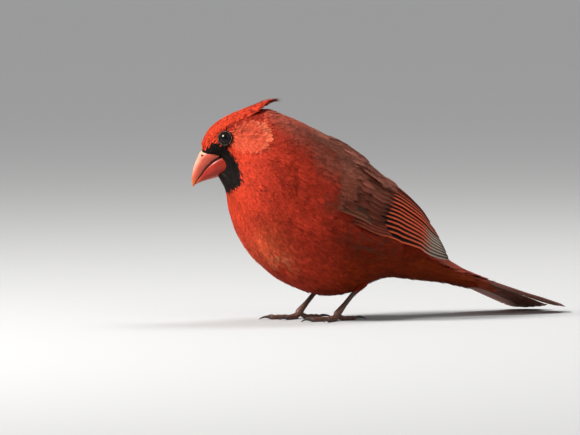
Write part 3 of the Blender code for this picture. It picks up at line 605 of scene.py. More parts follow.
def horn_material(name, grain, low, high, bump, coat):
    """Smooth horn or scales: colour from the tint, roughness and relief from a noise drawn out upwards."""
    material = bpy.data.materials.new(name)
    material.use_nodes = True
    nodes, links = material.node_tree.nodes, material.node_tree.links
    shader = nodes["Principled BSDF"]
    tint = nodes.new("ShaderNodeAttribute")
    tint.attribute_name = "tint"
    place = nodes.new("ShaderNodeTexCoord")
    noise = nodes.new("ShaderNodeTexNoise")
    noise.inputs["Scale"].default_value = grain
    noise.inputs["Detail"].default_value = 6.0
    shine = nodes.new("ShaderNodeMapRange")
    shine.inputs["To Min"].default_value = low
    shine.inputs["To Max"].default_value = high
    shade = nodes.new("ShaderNodeMapRange")
    shade.inputs["From Min"].default_value = 0.3
    shade.inputs["From Max"].default_value = 0.7
    shade.inputs["To Min"].default_value = 0.86
    shade.inputs["To Max"].default_value = 1.12
    scale = nodes.new("ShaderNodeVectorMath")
    scale.operation = "SCALE"
    raised = nodes.new("ShaderNodeBump")
    raised.inputs["Strength"].default_value = bump
    raised.inputs["Distance"].default_value = 0.00015
    links.new(place.outputs["Object"], noise.inputs["Vector"])
    links.new(noise.outputs["Fac"], shine.inputs["Value"])
    links.new(noise.outputs["Fac"], shade.inputs["Value"])
    links.new(noise.outputs["Fac"], raised.inputs["Height"])
    links.new(tint.outputs["Color"], scale.inputs[0])
    links.new(shade.outputs["Result"], scale.inputs["Scale"])
    links.new(scale.outputs["Vector"], shader.inputs["Base Color"])
    links.new(shine.outputs["Result"], shader.inputs["Roughness"])
    links.new(raised.outputs["Normal"], shader.inputs["Normal"])
    shader.inputs["Coat Weight"].default_value = coat
    shader.inputs["Coat Roughness"].default_value = 0.12
    return material


COAT_DEPTH = 2.0


def depth(t, angle):
    """How far the skin lies inside the coat's surface: little on the face, round the eyes and at the tail."""
    face = 0.4 + (COAT_DEPTH - 0.4) * smooth((t - 1.5) / 6.0)
    eye_t, eye_angle = EYE_AT
    side = np.abs((angle + 180) % 360 - 180)
    near = np.exp(-((t - eye_t) / 0.9) ** 2 - ((side - eye_angle) / 30) ** 2)
    x, y = head_pixels(t, angle)
    bare = 1.7 * np.exp(-((x - 213) / 8) ** 2 - ((y - 162) / 7) ** 2) * (t < 2.6)
    return face * (1 - 0.5 * near) * (1 - 0.4 * smooth((t - 13.5) / 2)) + bare


def make_skin(material):
    """One skin under the whole coat, from the bill's base to the tail's root."""
    shuffle = np.random.default_rng(3)
    t = np.concatenate([np.linspace(0.02, 6, 90), np.linspace(6.1, TAIL_ROOT_END, 90)])
    t, angle = np.meshgrid(t, np.arange(0, 360, 3.0), indexing="ij")
    points = body(t, angle) - normals(body, t, angle) * depth(t, angle)[..., None]
    # Painted shade: the skin a little darker than the feathers over it
    tint = plumage(t, angle, shuffle, 0.4) * 0.95
    rows, columns = t.shape
    ends = np.stack([points[0].mean(0), points[-1].mean(0)])
    piece = Piece()
    piece.grid(points, tint.reshape(-1, 3), closed_across=True,
               patch=np.stack([angle / 360, t / TAIL_ROOT_END], -1) * 0.96 + 0.02)
    first = len(points.reshape(-1, 3))
    k = np.arange(columns)
    n = (k + 1) % columns
    piece.add(ends, tint=(tint[0].mean(0), tint[-1].mean(0)), patch=((0.5, 0.01), (0.5, 0.99)))
    last = (rows - 1) * columns
    piece.triangles.append(np.stack([n, k, np.full(columns, first)], -1))
    piece.triangles.append(np.stack([last + k, last + n, np.full(columns, first + 1)], -1))
    return piece.make("skin", material, "plumage", ("head", "neck", "torso"), coat=True)


# The tracts of small feathers: name, sections, angles from the back's ridge, spacing in mm at both sections,
# length in spacings, width in spacings, kinds of tuft
TRACTS = (
    ("face", (0.05, 2.6), (-180, 180), (0.72, 0.85), 4.2, 0.7, "fine"),
    ("head_left", (2.4, 5.2), (0, 180), (0.85, 1.25), 4.6, 0.72, "fine"),
    ("head_right", (2.4, 5.2), (-180, 0), (0.9, 1.3), 4.4, 0.75, "fine"),
    ("breast_left", (5.0, 9.2), (40, 180), (1.35, 1.85), 4.9, 0.8, "body"),
    ("breast_right", (5.0, 9.2), (-180, -40), (1.4, 1.95), 4.7, 0.85, "body"),
    ("belly_left", (9.0, 13.2), (60, 180), (1.85, 2.1), 4.7, 0.85, "body"),
    ("belly_right", (9.0, 13.2), (-180, -60), (1.9, 2.2), 4.6, 0.9, "body"),
    ("back", (5.0, 13.2), (-60, 60), (1.6, 2.4), 4.2, 0.95, "body"),
    ("tail_root", (13.0, 15.5), (-180, 180), (2.2, 2.5), 4.0, 0.9, "body"),
)
EYE_CLEAR = 3.85                      # no feather grows nearer to the middle of the eye


def eye_frame(side):
    """The eye's place on the head's surface and the way it looks, for the side (-1 left, 1 right)."""
    t, angle = EYE_AT[0], -side * EYE_AT[1]
    place = body(t, angle)
    along = body(t + 0.3, angle) - body(t - 0.3, angle)
    across = body(t, angle + 8) - body(t, angle - 8)
    return place, unit(np.cross(across, along))


def make_coat(material):
    """The small feathers of head and body, one piece a tract."""
    shapes = {
        "fine": templates(10, 21, strands=11, fine=0.115, vane=0.9, loft=0.13, reach=1.14, spread=1.1),
        "body": templates(10, 22, strands=13, fine=0.15, vane=0.9, loft=0.3, reach=1.16, spread=1.1),
    }
    eyes = [eye_frame(side)[0] for side in (-1, 1)]
    for number, (name, sections, angles, spacing, longer, wider, kind) in enumerate(TRACTS):
        shuffle = np.random.default_rng(100 + number)

        def apart(p, q):
            share = (p - sections[0]) / (sections[1] - sections[0])
            return spacing[0] + (spacing[1] - spacing[0]) * share

        place = scatter(body, sections, angles, apart, 17 * number)
        t, angle = place.T
        spots = body(t, angle)
        kept = np.ones(len(place), bool)
        for eye in eyes:
            away = np.linalg.norm(spots - eye, axis=-1)
            kept &= away > EYE_CLEAR
        kept &= ~((t < 2.6) & inside(*head_pixels(t, angle), BILL_LINE))
        place = place[kept]
        t, angle = place.T
        size = apart(t, angle)
        side = (angle + 180) % 360 - 180
        length = size * longer * shuffle.uniform(0.85, 1.15, len(place))
        swing = 13 * smooth((t - 4) / 3) * smooth((11 - t) / 3) * np.sin(np.radians(side))
        swing = swing + shuffle.normal(0, 7, len(place))
        # In front of the eye a feather ends before the lids
        spots = body(t, angle)
        for eye in eyes:
            away = np.linalg.norm(spots - eye, axis=-1)
            length = np.where((away < EYE_CLEAR + 3) & (t < EYE_AT[0]), np.minimum(length, np.maximum(
                0.6, away - EYE_CLEAR + 0.3)), length)
        along, across = directions(body, place, length, swing)
        over = 0.28 * size * shuffle.uniform(0.3, 1.3, len(place))
        rolling = 0.42 * waves(t, angle, 9, 1.6) * smooth((t - 3.6) / 2.5) * smooth((14.5 - t) / 2)
        rolling = rolling * (1 - 0.85 * smooth((36 - np.abs(side)) / 14) * smooth((t - 5.2) / 0.6))
        px, py = head_pixels(t + along[:, 0], angle + along[:, 1])
        raised = inside(px, py, CHEEK_LINE) * smooth((np.hypot(px - 243, (py - 138) * 1.25) - 14) / 10)
        rolling = rolling + 0.6 * raised * (t < 6.5)
        rolling = rolling + 0.7 * shuffle.random(len(t)) * smooth((np.abs(side) - 150) / 20) * smooth((t - 7) / 2)
        rolling = rolling + 0.85 * smooth((54 - np.abs(side)) / 14) * smooth((t - 0.4) / 0.8) * smooth((5.7 - t) / 0.6)
        flat = (0.28 + 0.2 * smooth((t - 3) / 4)) * (1 - 0.6 * smooth((36 - np.abs(side)) / 14) * smooth((t - 5.2) / 0.6))
        lift = np.stack([-depth(t, angle) * 0.85 - 0.05, over * flat - 0.1 + rolling], -1)
        tint = plumage(t + along[:, 0], angle + along[:, 1], shuffle)
        dull = smooth((66 - np.abs(side)) / 30) * smooth((t - 5.2) / 2.0) * smooth((12.4 - t) / 1.5)
        tip_tint = mixed(tint * 1.08, BACK_EDGE, 0.4 * dull)
        patch = np.stack([
            0.02 + 0.96 * (angle - angles[0]) / (angles[1] - angles[0]),
            0.02 + 0.96 * (t - sections[0]) / (sections[1] - sections[0]),
        ], -1)
        piece = Piece()
        half = size * wider * shuffle.uniform(0.9, 1.2, len(place)) * (1.25 if kind == "fine" else 1.05)
        lay(piece, body, place, along, across, half, lift, tint, tip_tint, shapes[kind], shuffle, patch)
        piece.make("coat_" + name, material, "plumage", coat=True)


def slab(piece, top, low, tint, patch=None, under=None):
    """A closed body between two grids of points, with a strip of faces round the rim."""
    piece.grid(top, tint, patch=patch)
    piece.grid(low, tint if under is None else under, patch=patch, flip=True)
    rows, columns = top.shape[:2]
    rim = list(range(columns))
    rim += [r * columns + columns - 1 for r in range(1, rows)]
    rim += [(rows - 1) * columns + k for k in range(columns - 2, -1, -1)]
    rim += [r * columns for r in range(rows - 2, 0, -1)]
    rim = np.array(rim)
    onward = np.roll(rim, -1)
    size = rows * columns
    first = piece.count - 2 * size
    piece.quads.append(first + np.stack([rim, rim + size, onward + size, onward], -1))


CREST_ROOTS = (0.75, 5.85)            # the base of the crest, in sections
CREST_NARROW = 0.74                   # share of its width that the base loses towards its tip


def crest_edge(t):
    share = np.clip((t - CREST_ROOTS[0]) / (CREST_ROOTS[1] - CREST_ROOTS[0]), 0, 1.2)
    return CREST_REACH * np.maximum(1 - CREST_NARROW * share ** 2, 0.08)


def crest_side(side):
    """The crest's side, from the head (q 0) to its ridge (q 100)."""
    def surface(t, q):
        share = np.clip((50 - side * (q - 50)) / 100, -0.2, 1.2)
        angle = side * crest_edge(t) * (1 - 0.45 * np.clip(share, 0, 1))
        return crest_level(t, angle, share)
    return surface


def crest_level(t, angle, level):
    points = plain_body(t, angle)
    top_x, top_z, low_x, low_z = np.moveaxis(spline(BODY, t), -1, 0)[:4]
    up = unit(np.stack([top_x - low_x, 0 * top_x, top_z - low_z], -1))
    height = np.interp(t, range(len(CREST_HEIGHT)), CREST_HEIGHT)
    side = np.clip(np.abs(angle) / CREST_REACH, 0, 1)
    raised = GAP + level * height * (1 - side * side) ** 1.5
    return turned(points + up * np.asarray(raised)[..., None])


def make_crest(skin, plumes):
    """The crest: a base over the crown under long feathers, which end in a few loose points."""
    ridge = crest(1.0)
    t, e = np.meshgrid(np.linspace(CREST_ROOTS[0], 5.45, 60), np.linspace(-1, 1, 25), indexing="ij")
    share = (t - CREST_ROOTS[0]) / (CREST_ROOTS[1] - CREST_ROOTS[0])
    angle = e * crest_edge(t) * (1 - 0.8 * smooth((share - 0.62) / 0.28))
    top = ridge(t, angle) - normals(ridge, t, angle) * 0.75
    free = smooth((share - 0.72) / 0.2)[..., None]
    low = crest(0.0)(t, angle) - normals(body, t, angle) * (0.9 * (1 - free))
    low = low * (1 - free) + (top - normals(ridge, t, angle) * 0.5) * free
    piece = Piece()
    slab(piece, top, low, np.broadcast_to(np.asarray(CROWN) * 0.7, top.shape).reshape(-1, 3),
         np.stack([angle / 90 + 0.5, t / 8], -1))
    piece.make("crest_base", skin, "plumage", ("crest",), coat=True, sharp=60)

    shuffle = np.random.default_rng(41)
    fine = templates(8, 42, strands=11, fine=0.11, vane=0.8, loft=0.15, reach=1.12, spread=1.1)
    long = templates(6, 43, strands=14, fine=0.12, vane=0.9, loft=0.2, reach=1.1, spread=0.5)
    piece = Piece()
    place = scatter(ridge, (0.35, 5.2), (-CREST_REACH, CREST_REACH), lambda p, q: 0.8 + 0.09 * p, 5)
    beside = np.abs(place[:, 1]) / crest_edge(place[:, 0])
    end = 6.0 - 0.85 * np.clip(beside, 0, 1) ** 1.3
    kept = (beside < 1.02) & (place[:, 0] < end - 0.12)
    place, end = place[kept], end[kept]
    t, angle = place.T
    length = (2.6 + 1.15 * t) * shuffle.uniform(0.85, 1.15, len(t))
    length = np.minimum(length, 9.0 * (end - t) * shuffle.uniform(0.9, 1.1, len(t)))
    swing = shuffle.normal(0, 5, len(t)) - 9 * np.clip(angle / CREST_REACH, -1, 1)
    along, across = directions(ridge, place, length, swing)
    lift = 0.35 + 0.35 * shuffle.random(len(t)) + 1.0 * smooth((t - 4.0) / 1.3)
    lift = np.stack([np.full(len(t), -1.2), lift], -1)
    tint = plumage(np.clip(t, 1.3, 4.2), angle * 0.6, shuffle) * (1 - 0.08 * smooth((t - 3) / 3))[:, None]
    patch = np.stack([0.02 + 0.96 * (angle / 90 + 0.5), t / 8], -1)
    half = (0.7 + 0.1 * t) * shuffle.uniform(0.85, 1.2, len(t))
    lay(piece, ridge, place, along, across, half, lift, tint, tint * 1.15, fine, shuffle, patch)
    for side in (-1, 1):
        wall = crest_side(side)
        place = scatter(wall, (2.2, 5.3), (4, 92), lambda p, q: 1.0 + 0 * p, 9)
        level = (50 - side * (place[:, 1] - 50)) / 100
        end = 4.85 + 1.05 * np.clip(level, 0, 1) ** 2.2
        kept = place[:, 0] < end - 0.15
        place, end, level = place[kept], end[kept], level[kept]
        t, q = place.T
        length = np.minimum(6.5, 8.0 * np.clip(end - t, 0.2, 2)) * shuffle.uniform(0.85, 1.15, len(t))
        along, across = directions(wall, place, length, shuffle.normal(0, 5, len(t)))
        lift = np.stack([np.full(len(t), -0.7), 0.1 + 0.3 * shuffle.random(len(t))], -1)
        tint = plumage(np.minimum(t, 4.2), side * 20.0 + 0 * q, shuffle) * (0.8 + 0.2 * level)[:, None]
        lay(piece, wall, place, along, across, np.full(len(t), 1.15), lift,
            tint, tint * 1.12, fine, shuffle, np.stack([0.5 + side * 0.3 + q / 900, t / 8], -1), soft=0.0)
    # The loose locks at the end, which draw together to one point
    count = 110
    place = np.stack([shuffle.uniform(4.2, 5.4, count), shuffle.normal(0, 5.0, count)], -1)
    t, angle = place.T
    near = np.exp(-(angle / 5) ** 2)
    tip = 5.75 + 0.62 * near * shuffle.uniform(0.25, 1.0, count)
    along = np.stack([tip - t, -angle * 0.85 + shuffle.normal(0, 0.7, count)], -1)
    across = directions(ridge, place, np.full(count, 5.0), np.zeros(count))[1]
    rise = 0.3 + (tip - 5.75) * 3.0
    lift = np.stack([shuffle.uniform(-1.4, -0.2, count), rise - shuffle.uniform(0.0, 1.4, count)], -1)
    tint = plumage(np.minimum(t, 4.2), angle, shuffle)
    lay(piece, ridge, place, along, across, np.full(count, 0.95), lift, tint, tint * 1.1, long, shuffle,
        np.stack([0.5 + angle / 90, t / 8], -1), soft=0.0)
    # The feathers that fill the crest's open end
    for level in (0.15, 0.4, 0.65):
        inner = crest(level)
        count = 34
        t = shuffle.uniform(3.9, 4.6, count)
        angle = crest_edge(t) * shuffle.uniform(-0.9, 0.9, count)
        place = np.stack([t, angle], -1)
        tip = 4.9 + 1.05 * level ** 2.2 - 0.25 * (angle / crest_edge(t)) ** 2
        along = np.stack([tip - t, -0.2 * angle], -1)
        across = directions(inner, place, np.full(count, 5.0), np.zeros(count))[1]
        tint = plumage(t * 0 + 4.0, angle, shuffle)
        lay(piece, inner, place, along, across, np.full(count, 1.1), np.stack([0 * t - 0.4, 0 * t + 0.3], -1), tint,
            tint * 1.1, fine, shuffle, np.stack([0.5 + angle / 90, t / 8], -1), soft=0.0)
    piece.make("coat_crest", plumes, "plumage", coat=True)


def shelled(lift):
    """The wing's surface raised by a lift that may differ from place to place."""
    def surface(t, angle):
        return shell(t, angle) + normals(shell, t, angle) * np.asarray(lift)[..., None]
    return surface


def thinned(angle):
    first, last, least = WING_THIN
    return least + (1 - least) * smooth((angle - first) / (last - first))


LONG_VANE = ((0.0, 0.6), (0.35, 0.94), (0.7, 1.0), (0.86, 0.84), (0.95, 0.52), (1.0, 0.08))
SHORT_VANE = ((0.0, 0.65), (0.45, 1.0), (0.8, 0.9), (0.94, 0.6), (1.0, 0.16))
TAIL_VANE = ((0.0, 0.45), (0.3, 0.76), (0.84, 1.0), (0.95, 0.8), (0.99, 0.45), (1.0, 0.25))


class Vane:
    """One stiff feather as a grid of places: its shaft, its two webs, and barbs that part here and there."""

    def __init__(self, profile, stations, shuffle, shaft=0.0, splits=2, columns=13):
        share = np.linspace(0, 1, stations) ** 0.85
        edge = np.linspace(-1, 1, columns)
        self.share, self.edge = np.meshgrid(share, edge, indexing="ij")
        wide = np.interp(share, *np.transpose(profile))
        wide = wide[:, None] * np.ones(columns)
        wide[:, edge < shaft] *= 1 + shuffle.normal(0, 0.012, (stations, 1))
        wide[:, edge > shaft] *= 1 + shuffle.normal(0, 0.012, (stations, 1))
        for k in range(splits):
            row = shuffle.integers(stations // 2, stations - 3)
            half = edge > 0 if shuffle.random() < 0.5 else edge < 0
            wide[row, half] *= 1 - shuffle.uniform(0.1, 0.28) * np.abs(edge[half]) ** 2
        self.wide = wide
        self.shaft = shaft
        near = np.abs(self.edge - shaft)
        self.ridge = np.exp(-(near / 0.09) ** 2)
        self.barb = self.share * 60 + np.abs(self.edge - shaft) * 5

    def add_to(self, piece, upper, lower, tint, cell, under=None):
        """The closed vane, with its own cell of the piece's map: column, row, columns and rows of cells."""
        column, row, columns, rows = cell
        patch = np.stack([
            (column + 0.05 + 0.9 * (self.edge + 1) / 2) / columns, (row + 0.05 + 0.9 * self.share) / rows
        ], -1)
        slab(piece, upper, lower, tint.reshape(-1, 3), patch, None if under is None else under.reshape(-1, 3))


# The lower edges of the flight feathers on the wing's surface: section, angle of the lowest primary, the highest
# primary, the lowest secondary, the highest secondary, the lowest tertial, the highest tertial
EDGE_LINES = (
    (8.6, 85, 59, 56, 38, 34, 20),
    (9.6, 88, 61, 58, 39, 35, 20),
    (11.3, 90, 61, 57, 38, 34, 19),
    (12.3, 87, 58, 54, 35, 32, 18),
    (13.3, 88.5, 56, 53, 32, 30, 18),
    (14.5, 94, 58, 53, 31, 30, 18),
)
# The tiers of stiff feathers: name, count, the columns of the edge lines, root section, tip section, width (each
# first and last), lift at root and tip, tilt
WING_TIERS = (
    ("primary", 8, (1, 2), (9.45, 9.8), (14.45, 13.6), (5.2, 5.6), (1.3, 1.5), 0.26),
    ("secondary", 5, (3, 4), (9.7, 9.8), (13.45, 12.8), (6.0, 6.8), (1.7, 2.1), 0.24),
    ("tertial", 3, (5, 6), (9.6, 9.4), (12.9, 12.0), (8.0, 9.0), (2.2, 2.9), 0.15),
    ("primary_covert", 5, None, (8.6, 8.8), (10.75, 10.3), (2.8, 3.0), (1.3, 2.4), 0.16),
    ("alula", 2, None, (7.95, 8.05), (9.6, 9.35), (5.0, 4.4), (1.6, 4.1), 0.16),
)
COVERT_EDGES = {"primary_covert": (88.5, 80.5), "alula": (85.0, 82.5)}
FLIGHT = ("primary", "secondary", "tertial")
WING_CORE_BACK = 0.8


def wing_vane(piece, tier, index, row, shuffle):
    """One feather of a tier on the wing's surface, its lower edge raised over the next one."""
    name, count, columns, roots, tips, widths, lifts, tilt = tier
    place = index / (count - 1)
    flight = name in FLIGHT
    root_t, tip_t = (a + (b - a) * place for a, b in (roots, tips))
    full = widths[0] + (widths[1] - widths[0]) * place
    tip_t += shuffle.uniform(-0.04, 0.04)
    vane = Vane(LONG_VANE if flight else SHORT_VANE, 46 if flight else 30, shuffle, 0.1 if flight else 0.0,
                splits=2)
    t = root_t + (tip_t - root_t) * vane.share
    if flight:
        lines = np.transpose(EDGE_LINES)
        low, high = (np.interp(t, lines[0], lines[column]) for column in columns)
    else:
        low, high = COVERT_EDGES[name]
    line = low + (high - low) * place
    half = full / 2 * vane.wide * (1 - (0.2 * vane.share if flight else 0))
    angle = line - (1 - vane.edge) * half / scales(shell, t, line)[1]
    centre = (lifts[0] + (lifts[1] - lifts[0]) * vane.share) * thinned(angle) - 0.3
    rise = WING_LIFT + np.maximum(0.2, centre + vane.edge * tilt * half)
    if not flight:
        rise = rise - 3.4 * (1 - smooth(vane.share / 0.34))
    curl = -0.25 * vane.edge ** 2 * (1 - 0.5 * vane.share) if not flight else -0.1 * vane.edge ** 2
    thick = (0.16 + 0.3 * vane.ridge * (1 - 0.7 * vane.share)) * (1 if flight else 0.9)
    barbs = 0.035 * np.sin(vane.barb * (3.1 if flight else 2.2))
    out = normals(shell, t, angle)
    base = shell(t, angle)
    upper = base + out * (rise + curl + thick / 2 + barbs + 0.12 * vane.ridge)[..., None]
    lower = base + out * (rise + curl - thick / 2)[..., None]
    tint = wing_tint(name, vane, place, shuffle)
    vane.add_to(piece, upper, lower, tint, (index, row, 10, len(WING_TIERS)))


def wing_tint(name, vane, place, shuffle):
    """Red outer webs, nearly black inner ones, pale brown tips and edges. The inner webs' dusky colour is darkened
    further with painted shade, where each feather lies under the next.
    """
    edge, share = vane.edge, vane.share
    grain = shuffle.normal(1, 0.05, share.shape) * (1 + 0.1 * np.sin(vane.barb * 2.4))
    if name in FLIGHT:
        outer = np.asarray(WEB_OUTER) * (1 - (0.5 * place if name == "secondary" else 0.0))
        bright = 0.5 if name == "primary" else 0.56
        # Dark between the red outer webs: dusky web colour and painted shade
        colour = mixed(INNER_WEB_AND_SHADE, outer, smooth((edge - bright) / 0.07))
        grey = smooth((share - (0.52 if name == "primary" else 0.6) - 0.07 * place) / 0.24)
        if name == "primary":
            colour = mixed(colour, mixed(np.asarray(VANE_TIP) * 0.85, np.asarray(PALE_EDGE) * 1.25, smooth((edge - 0.74) / 0.12)),
                           grey * smooth((edge - 0.2) / 0.2))
            colour = mixed(colour, INNER_WEB_AND_SHADE, 0.6 * grey * smooth((0.45 - edge) / 0.3))
        elif name == "tertial":
            colour = mixed(np.asarray(COVERT) * 0.5, mixed(COVERT, WEB_OUTER, 0.4), smooth((np.abs(edge) - 0.35) / 0.5))
        else:
            colour = mixed(colour, mixed(outer, VANE_TIP, 0.4), grey * smooth((edge - 0.4) / 0.3))
    else:
        red = np.asarray(COVERT) * (1.25 - 0.35 * place)
        edge_red = mixed(red * 1.6, WEB_OUTER, 0.25)
        if name == "alula":
            red = mixed((0.06, 0.034, 0.022), (0.15, 0.045, 0.022), smooth((edge + 0.1) / 0.5))
            edge_red = np.asarray((0.3, 0.12, 0.07))
        rim = smooth((edge - 0.72) / 0.14)
        dark = mixed(red, np.asarray(red) * 0.42, smooth((0.5 - np.abs(edge)) / 0.5) * (0.3 if name == "alula" else 0.7))
        colour = mixed(dark, edge_red, rim * 0.7)
    shade = 1 - 0.45 * vane.ridge
    return colour * (grain * shade)[..., None]


def make_wing_core(piece):
    """The folded arm and hand with their skin, under every wing feather."""
    u, v = np.meshgrid(np.linspace(0, 1, 40), np.linspace(0, 1, 26), indexing="ij")
    start = 8.05 + WING_CORE_BACK * (2 * v - 1) ** 2
    t = start + (10.3 - 0.9 * (1 - v) ** 3 - start) * u
    angle = 84.0 + (28.0 - 84.0) * v
    high = np.sin(np.pi * np.minimum(0.97, 0.02 + u * 0.95)) ** 0.9 * np.sin(np.pi * (0.08 + 0.84 * v)) ** 0.5
    thick = (0.3 + 1.7 * high * (1 - 0.6 * u)) * thinned(angle)
    out = normals(shell, t, angle)
    base = shell(t, angle)
    low = base + out * (WING_LIFT - 0.2)
    top = base + out * (WING_LIFT + np.maximum(0.2, thick))[..., None]
    slab(piece, top, low, np.broadcast_to(np.asarray(COVERT) * 0.6, top.shape).reshape(-1, 3))


# Rows of coverts: count, root and tip section (lowest, highest feather), angle of both, half width, lift at root, tip
COVERT_ROWS = (
    (12, (8.6, 8.6), (10.35, 10.9), 82, 34, 2.3, 1.2, 3.1),
    (8, (8.3, 8.2), (9.45, 9.75), 81, 38, 2.9, 1.6, 3.8),
    (8, (7.9, 7.8), (8.95, 9.15), 80, 40, 2.8, 1.2, 4.2),
)


def covert_shape(shuffle):
    """A broad soft feather: a dark middle, and barbs that slant outwards to its lighter edge."""
    blades = Blades()
    blades.add(
        [(0.0, 0.0, 0.5, 0.0, 0.0), (0.4, 0.0, 0.96, 0.0, 0.0), (0.75, 0.0, 0.92, 0.0, 0.0), (0.92, 0.0, 0.5, 0.0, 0.0)],
        (1.0, 0.0, 0.0), 0.16, 0.62,
    )
    blades.add([(0.1, 0.0, 0.0, 0.09, 0.12), (0.6, 0.0, 0.0, 0.07, 0.12)], (0.97, 0.0, 0.1), 0.1, 0.4)
    for k in range(58):
        share = shuffle.uniform(0.05, 0.86)
        side = shuffle.uniform(-0.75, 0.75)
        reach = shuffle.uniform(0.14, 0.26)
        width = 0.95 * math.sqrt(max(0.05, 1 - ((share + reach - 0.45) / 0.62) ** 2))
        end = side + math.copysign(0.28, side)
        end = max(-width * 1.08, min(width * 1.08, end))
        light = 0.62 + 0.75 * abs(end) ** 2 + shuffle.uniform(-0.16, 0.2)
        blades.add([(share, side, 0.0, 0.13, 0.1)], (share + reach, end, shuffle.uniform(0.05, 0.2)), 0.04, light)
    return blades.arrays()


